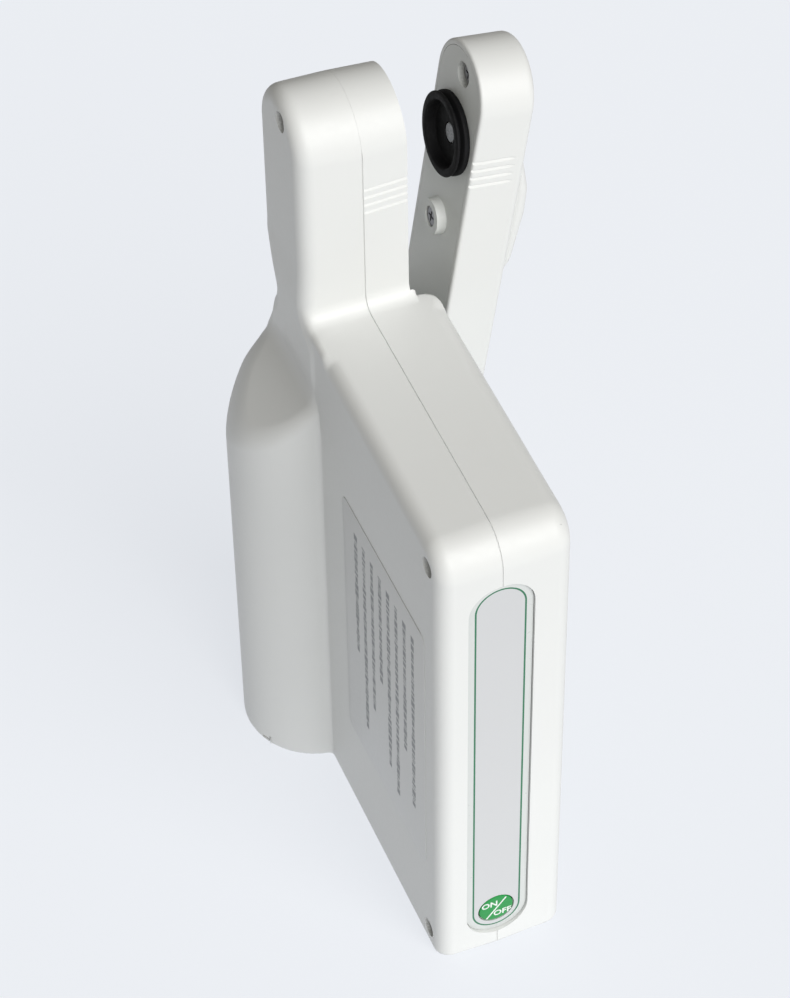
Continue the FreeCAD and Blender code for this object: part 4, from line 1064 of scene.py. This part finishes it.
# ================================================================ label on the back
label_steps = [(-36.6, 23.2, 1.8), (2.4, 23.2, 1.8), (2.4, 89.2, 1.8), (-36.6, 89.2, 1.8)]
label = shown(slab(label_steps, "X", [(-12.1, 0.0), (-12.20, 0.0), (-12.235, 0.02), (-12.25, 0.06)]), "Back_label")
put(label, [M["label"]], "housing", ["data_label"], angle=50.0)

# plain dashes in rows, in the place of the label's print
rng = np.random.default_rng(7)
rows = [(-31.2, 84.0, 36.0), (-27.3, 84.0, 48.0), (-23.4, 84.0, 30.0), (-19.5, 84.0, 34.0), (-15.6, 84.0, 56.0), (-11.7, 84.0, 42.0), (-7.8, 84.0, 33.0), (-3.9, 84.0, 52.0)]
dash_v, dash_f = [], []
for y, z0, z1 in rows:
    z = z0
    while z > z1:
        ln = float(rng.choice([0.4, 0.8, 1.2, 1.6]))
        wd = float(rng.choice([0.55, 0.68, 0.8]))
        x0, x1 = -12.262, -12.24
        k = len(dash_v)
        for xx in (x0, x1):
            dash_v += [(xx, y - wd, z), (xx, y + wd, z), (xx, y + wd, z - ln), (xx, y - wd, z - ln)]
        dash_f += [(k, k + 1, k + 2, k + 3), (k + 7, k + 6, k + 5, k + 4), (k, k + 4, k + 5, k + 1), (k + 1, k + 5, k + 6, k + 2), (k + 2, k + 6, k + 7, k + 3), (k + 3, k + 7, k + 4, k)]
        z -= ln + float(rng.choice([0.3, 0.4, 0.5]))
dashes = shown(mesh_of(np.array(dash_v), dash_f), "Back_label_dashes")
put(dashes, [M["ink_label"]], "housing", ())

# ================================================================ keys on the display side
for node, (ky, kz) in KEYS.items():
    steps_ = pill(ky - 2.0, kz, ky + 2.0, kz, 4.0)
    lo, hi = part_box(node)
    flange = Path(pill(ky - 2.0, kz, ky + 2.0, kz, 4.0), inset=-0.0, fine=6.0).points
    levels = [(lo.x * 1000, 0.0), (14.25, 0.0), (14.50, 0.05), (14.66, 0.18), (14.76, 0.42), (14.80, 0.85), (14.78, 1.6)]
    cap = shown(slab(steps_, "X", levels, fine=6.0), node.replace("key", "Keypad"))
    put(cap, [M["keys"]], {"key_up": "up_button", "key_down": "down_button", "key_back": "back_button", "key_enter": "enter_button"}[node],
        [node], angle=40.0)


def mark(pts, name, body, x0=14.77, x1=14.80, mat="ink_white"):
    o = shown(prism(pts, "X", x0, x1), name)
    return put(o, [M[mat]], body, ())


ky, kz = KEYS["key_up"]
mark([(ky - 1.5, kz - 0.9), (ky + 1.5, kz - 0.9), (ky, kz + 1.3)], "Keypad_up_mark", "up_button")
ky, kz = KEYS["key_down"]
mark([(ky - 1.5, kz + 0.9), (ky, kz - 1.3), (ky + 1.5, kz + 0.9)], "Keypad_down_mark", "down_button")
ky, kz = KEYS["key_back"]
mark([(ky - 1.9, kz), (ky - 0.4, kz - 1.3), (ky - 0.4, kz - 0.4), (ky + 1.7, kz - 0.4), (ky + 1.7, kz + 0.4), (ky - 0.4, kz + 0.4), (ky - 0.4, kz + 1.3)],
     "Keypad_back_mark", "back_button")
ky, kz = KEYS["key_enter"]
mark([(ky - 1.9, kz - 0.3), (ky - 0.5, kz - 1.5), (ky - 0.5, kz - 0.7), (ky + 1.7, kz - 0.7), (ky + 1.7, kz + 1.4), (ky + 0.9, kz + 1.4), (ky + 0.9, kz + 0.1), (ky - 0.5, kz + 0.1), (ky - 0.5, kz + 0.9)],
     "Keypad_enter_mark", "enter_button")


# printed frame lines of the overlay
def outline_print(steps_, wide, name):
    o_, i_ = Path(steps_, fine=6.0).points, Path(steps_, inset=wide, fine=6.0).points
    me = stack([turned(o_, "X", 14.095), turned(o_, "X", 14.115), turned(i_, "X", 14.115), turned(i_, "X", 14.095)], closed=False)
    o = shown(me, name)
    return put(o, [M["film_ink"]], "housing", ())


outline_print([(-36.9, 13.4, 2.4), (12.5, 13.4, 2.4), (12.5, 104.6, 2.4), (-36.9, 104.6, 2.4)], 0.32, "Overlay_border_line")
outline_print([(-35.4, 69.4, 2.2), (11.0, 69.4, 2.2), (11.0, 98.6, 2.2), (-35.4, 98.6, 2.2)], 0.9, "Overlay_display_frame")
for node, (ky, kz) in KEYS.items():
    outline_print(pill(ky - 2.0, kz, ky + 2.0, kz, 5.6), 0.28, node.replace("key", "Overlay_key") + "_ring")

# seven-segment figures on the display
SEG = {"a": (0, 1), "b": (1, 0.5), "c": (1, -0.5), "d": (0, -1), "e": (-1, -0.5), "f": (-1, 0.5), "g": (0, 0)}
ON = {"0": "abcdef", "2": "abged", "4": "fgbc", "6": "afgedc", "8": "abcdefg", "3": "abgcd", "5": "afgcd"}


def figure(ch, cy, cz, w, h, t):
    out = []
    for s_name in ON[ch]:
        su, sv = SEG[s_name]
        if s_name in "adg":
            u0, u1, vv0 = cy - w / 2 + t * 0.7, cy + w / 2 - t * 0.7, cz + sv * h / 2
            out.append([(u0, vv0), (u0 + t / 2, vv0 - t / 2), (u1 - t / 2, vv0 - t / 2), (u1, vv0), (u1 - t / 2, vv0 + t / 2), (u0 + t / 2, vv0 + t / 2)])
        else:
            uu, v0, v1 = cy + su * w / 2, cz + (sv - 0.5) * h / 2 + t * 0.7, cz + (sv + 0.5) * h / 2 - t * 0.7
            out.append([(uu, v0), (uu + t / 2, v0 + t / 2), (uu + t / 2, v1 - t / 2), (uu, v1), (uu - t / 2, v1 - t / 2), (uu - t / 2, v0 + t / 2)])
    return out


polys = []
for k, ch in enumerate("42"):
    polys += figure(ch, -19.5 + k * 8.6, 84.0, 5.2, 12.4, 1.15)
polys += figure("6", 0.0 - 0.6, 84.0, 5.2, 12.4, 1.15)
polys.append([(-6.5, 77.3), (-5.3, 77.3), (-5.3, 78.5), (-6.5, 78.5)])
sv_, sf_, k = [], [], 0
for p in polys:
    a_, b_ = turned(p, "X", 12.105), turned(p, "X", 12.125)
    m_ = len(p)
    sv_ += [a_, b_]
    sf_.append(tuple(range(k + m_, k + 2 * m_)))
    sf_.append(tuple(range(k + m_ - 1, k - 1, -1)))
    for i in range(m_):
        j = (i + 1) % m_
        sf_.append((k + i, k + j, k + m_ + j, k + m_ + i))
    k += 2 * m_
digits = shown(mesh_of(np.concatenate(sv_), sf_), "Display_figures")
put(digits, [M["ink_dark"]], "housing", ())

# ================================================================ floor, light, camera
def plain(name, col, rough, glow):
    """backlit paper: a little diffuse colour and an even glow"""
    s = Stuff(name, Roughness=rough, Specular_IOR_Level=0.1)
    s.b.inputs["Emission Color"].default_value = glow[0]
    s.b.inputs["Emission Strength"].default_value = glow[1]
    a_, b_ = shades(col, 0.997, 1.003)
    s.color(s.ramp(s.noise(3.0), (0.3, a_), (0.7, b_)))
    return s.m


floor = shown(mesh_of(np.array([(-0.5, -0.5, 0), (0.5, -0.5, 0), (0.5, 0.5, 0), (-0.5, 0.5, 0)], float), [(0, 1, 2, 3)]), "Floor")
floor.location = (0.0, 0.0, -0.00002)
floor.data.materials.append(plain("Pale_floor", [0.18, 0.18, 0.18, 1.0], 0.9, ((0.68, 0.705, 0.748, 1.0), 1.0)))
floor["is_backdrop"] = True

world = bpy.data.worlds.new("Studio")
SCENE.world = world
world.use_nodes = True
wt = world.node_tree
wt.nodes.clear()
out = wt.nodes.new("ShaderNodeOutputWorld")
mixn = wt.nodes.new("ShaderNodeMixShader")
amb = wt.nodes.new("ShaderNodeBackground")
amb.inputs["Color"].default_value = (1.0, 0.965, 0.88, 1.0)
amb.inputs["Strength"].default_value = 0.2
seen = wt.nodes.new("ShaderNodeBackground")
seen.inputs["Color"].default_value = (0.838, 0.863, 0.905, 1.0)
seen.inputs["Strength"].default_value = 1.0
lp = wt.nodes.new("ShaderNodeLightPath")
wt.links.new(lp.outputs["Is Camera Ray"], mixn.inputs[0])
wt.links.new(amb.outputs[0], mixn.inputs[1])
wt.links.new(seen.outputs[0], mixn.inputs[2])
wt.links.new(mixn.outputs[0], out.inputs[0])


def sun(name, az, el, power, spread):
    """light from azimuth az (0 = in front, -Y; 90 = display side, +X) at elevation el"""
    d = bpy.data.lights.new(name, "SUN")
    d.energy, d.angle = power, math.radians(spread)
    o = bpy.data.objects.new(name, d)
    SCENE.collection.objects.link(o)
    a_, e_ = math.radians(az), math.radians(el)
    back_ = Vector((math.sin(a_) * math.cos(e_), -math.cos(a_) * math.cos(e_), math.sin(e_)))
    o.rotation_mode = "QUATERNION"
    o.rotation_quaternion = back_.to_track_quat("Z", "Y")
    o.location = back_ * 2
    return o


sun("Key_light", 11.0, 37.5, 3.3, 50.0)

cam_data = bpy.data.cameras.new("Camera")
cam = bpy.data.objects.new("Camera", cam_data)
SCENE.collection.objects.link(cam)
cam_data.sensor_width = 36.0
cam_data.sensor_fit = "AUTO"
cam_data.lens = 36.0 * 3438.6 / 998.0
cam_data.clip_start, cam_data.clip_end = 0.01, 100.0
right = Vector((0.9238484, -0.3825810, -0.0116565))
down = Vector((-0.2862818, -0.6704519, -0.6844977))
ahead = Vector((0.2540606, 0.6357092, -0.7289219))
rot = Matrix((right, -down, -ahead)).transposed()
cam.matrix_world = Matrix.Translation(Vector((-0.165488, -0.407461, 0.553182))) @ rot.to_4x4()
SCENE.camera = cam

SCENE.view_settings.view_transform = "Standard"
SCENE.view_settings.look = "None"
SCENE.view_settings.exposure = 0.0
SCENE.view_settings.gamma = 1.0

lo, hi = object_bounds()
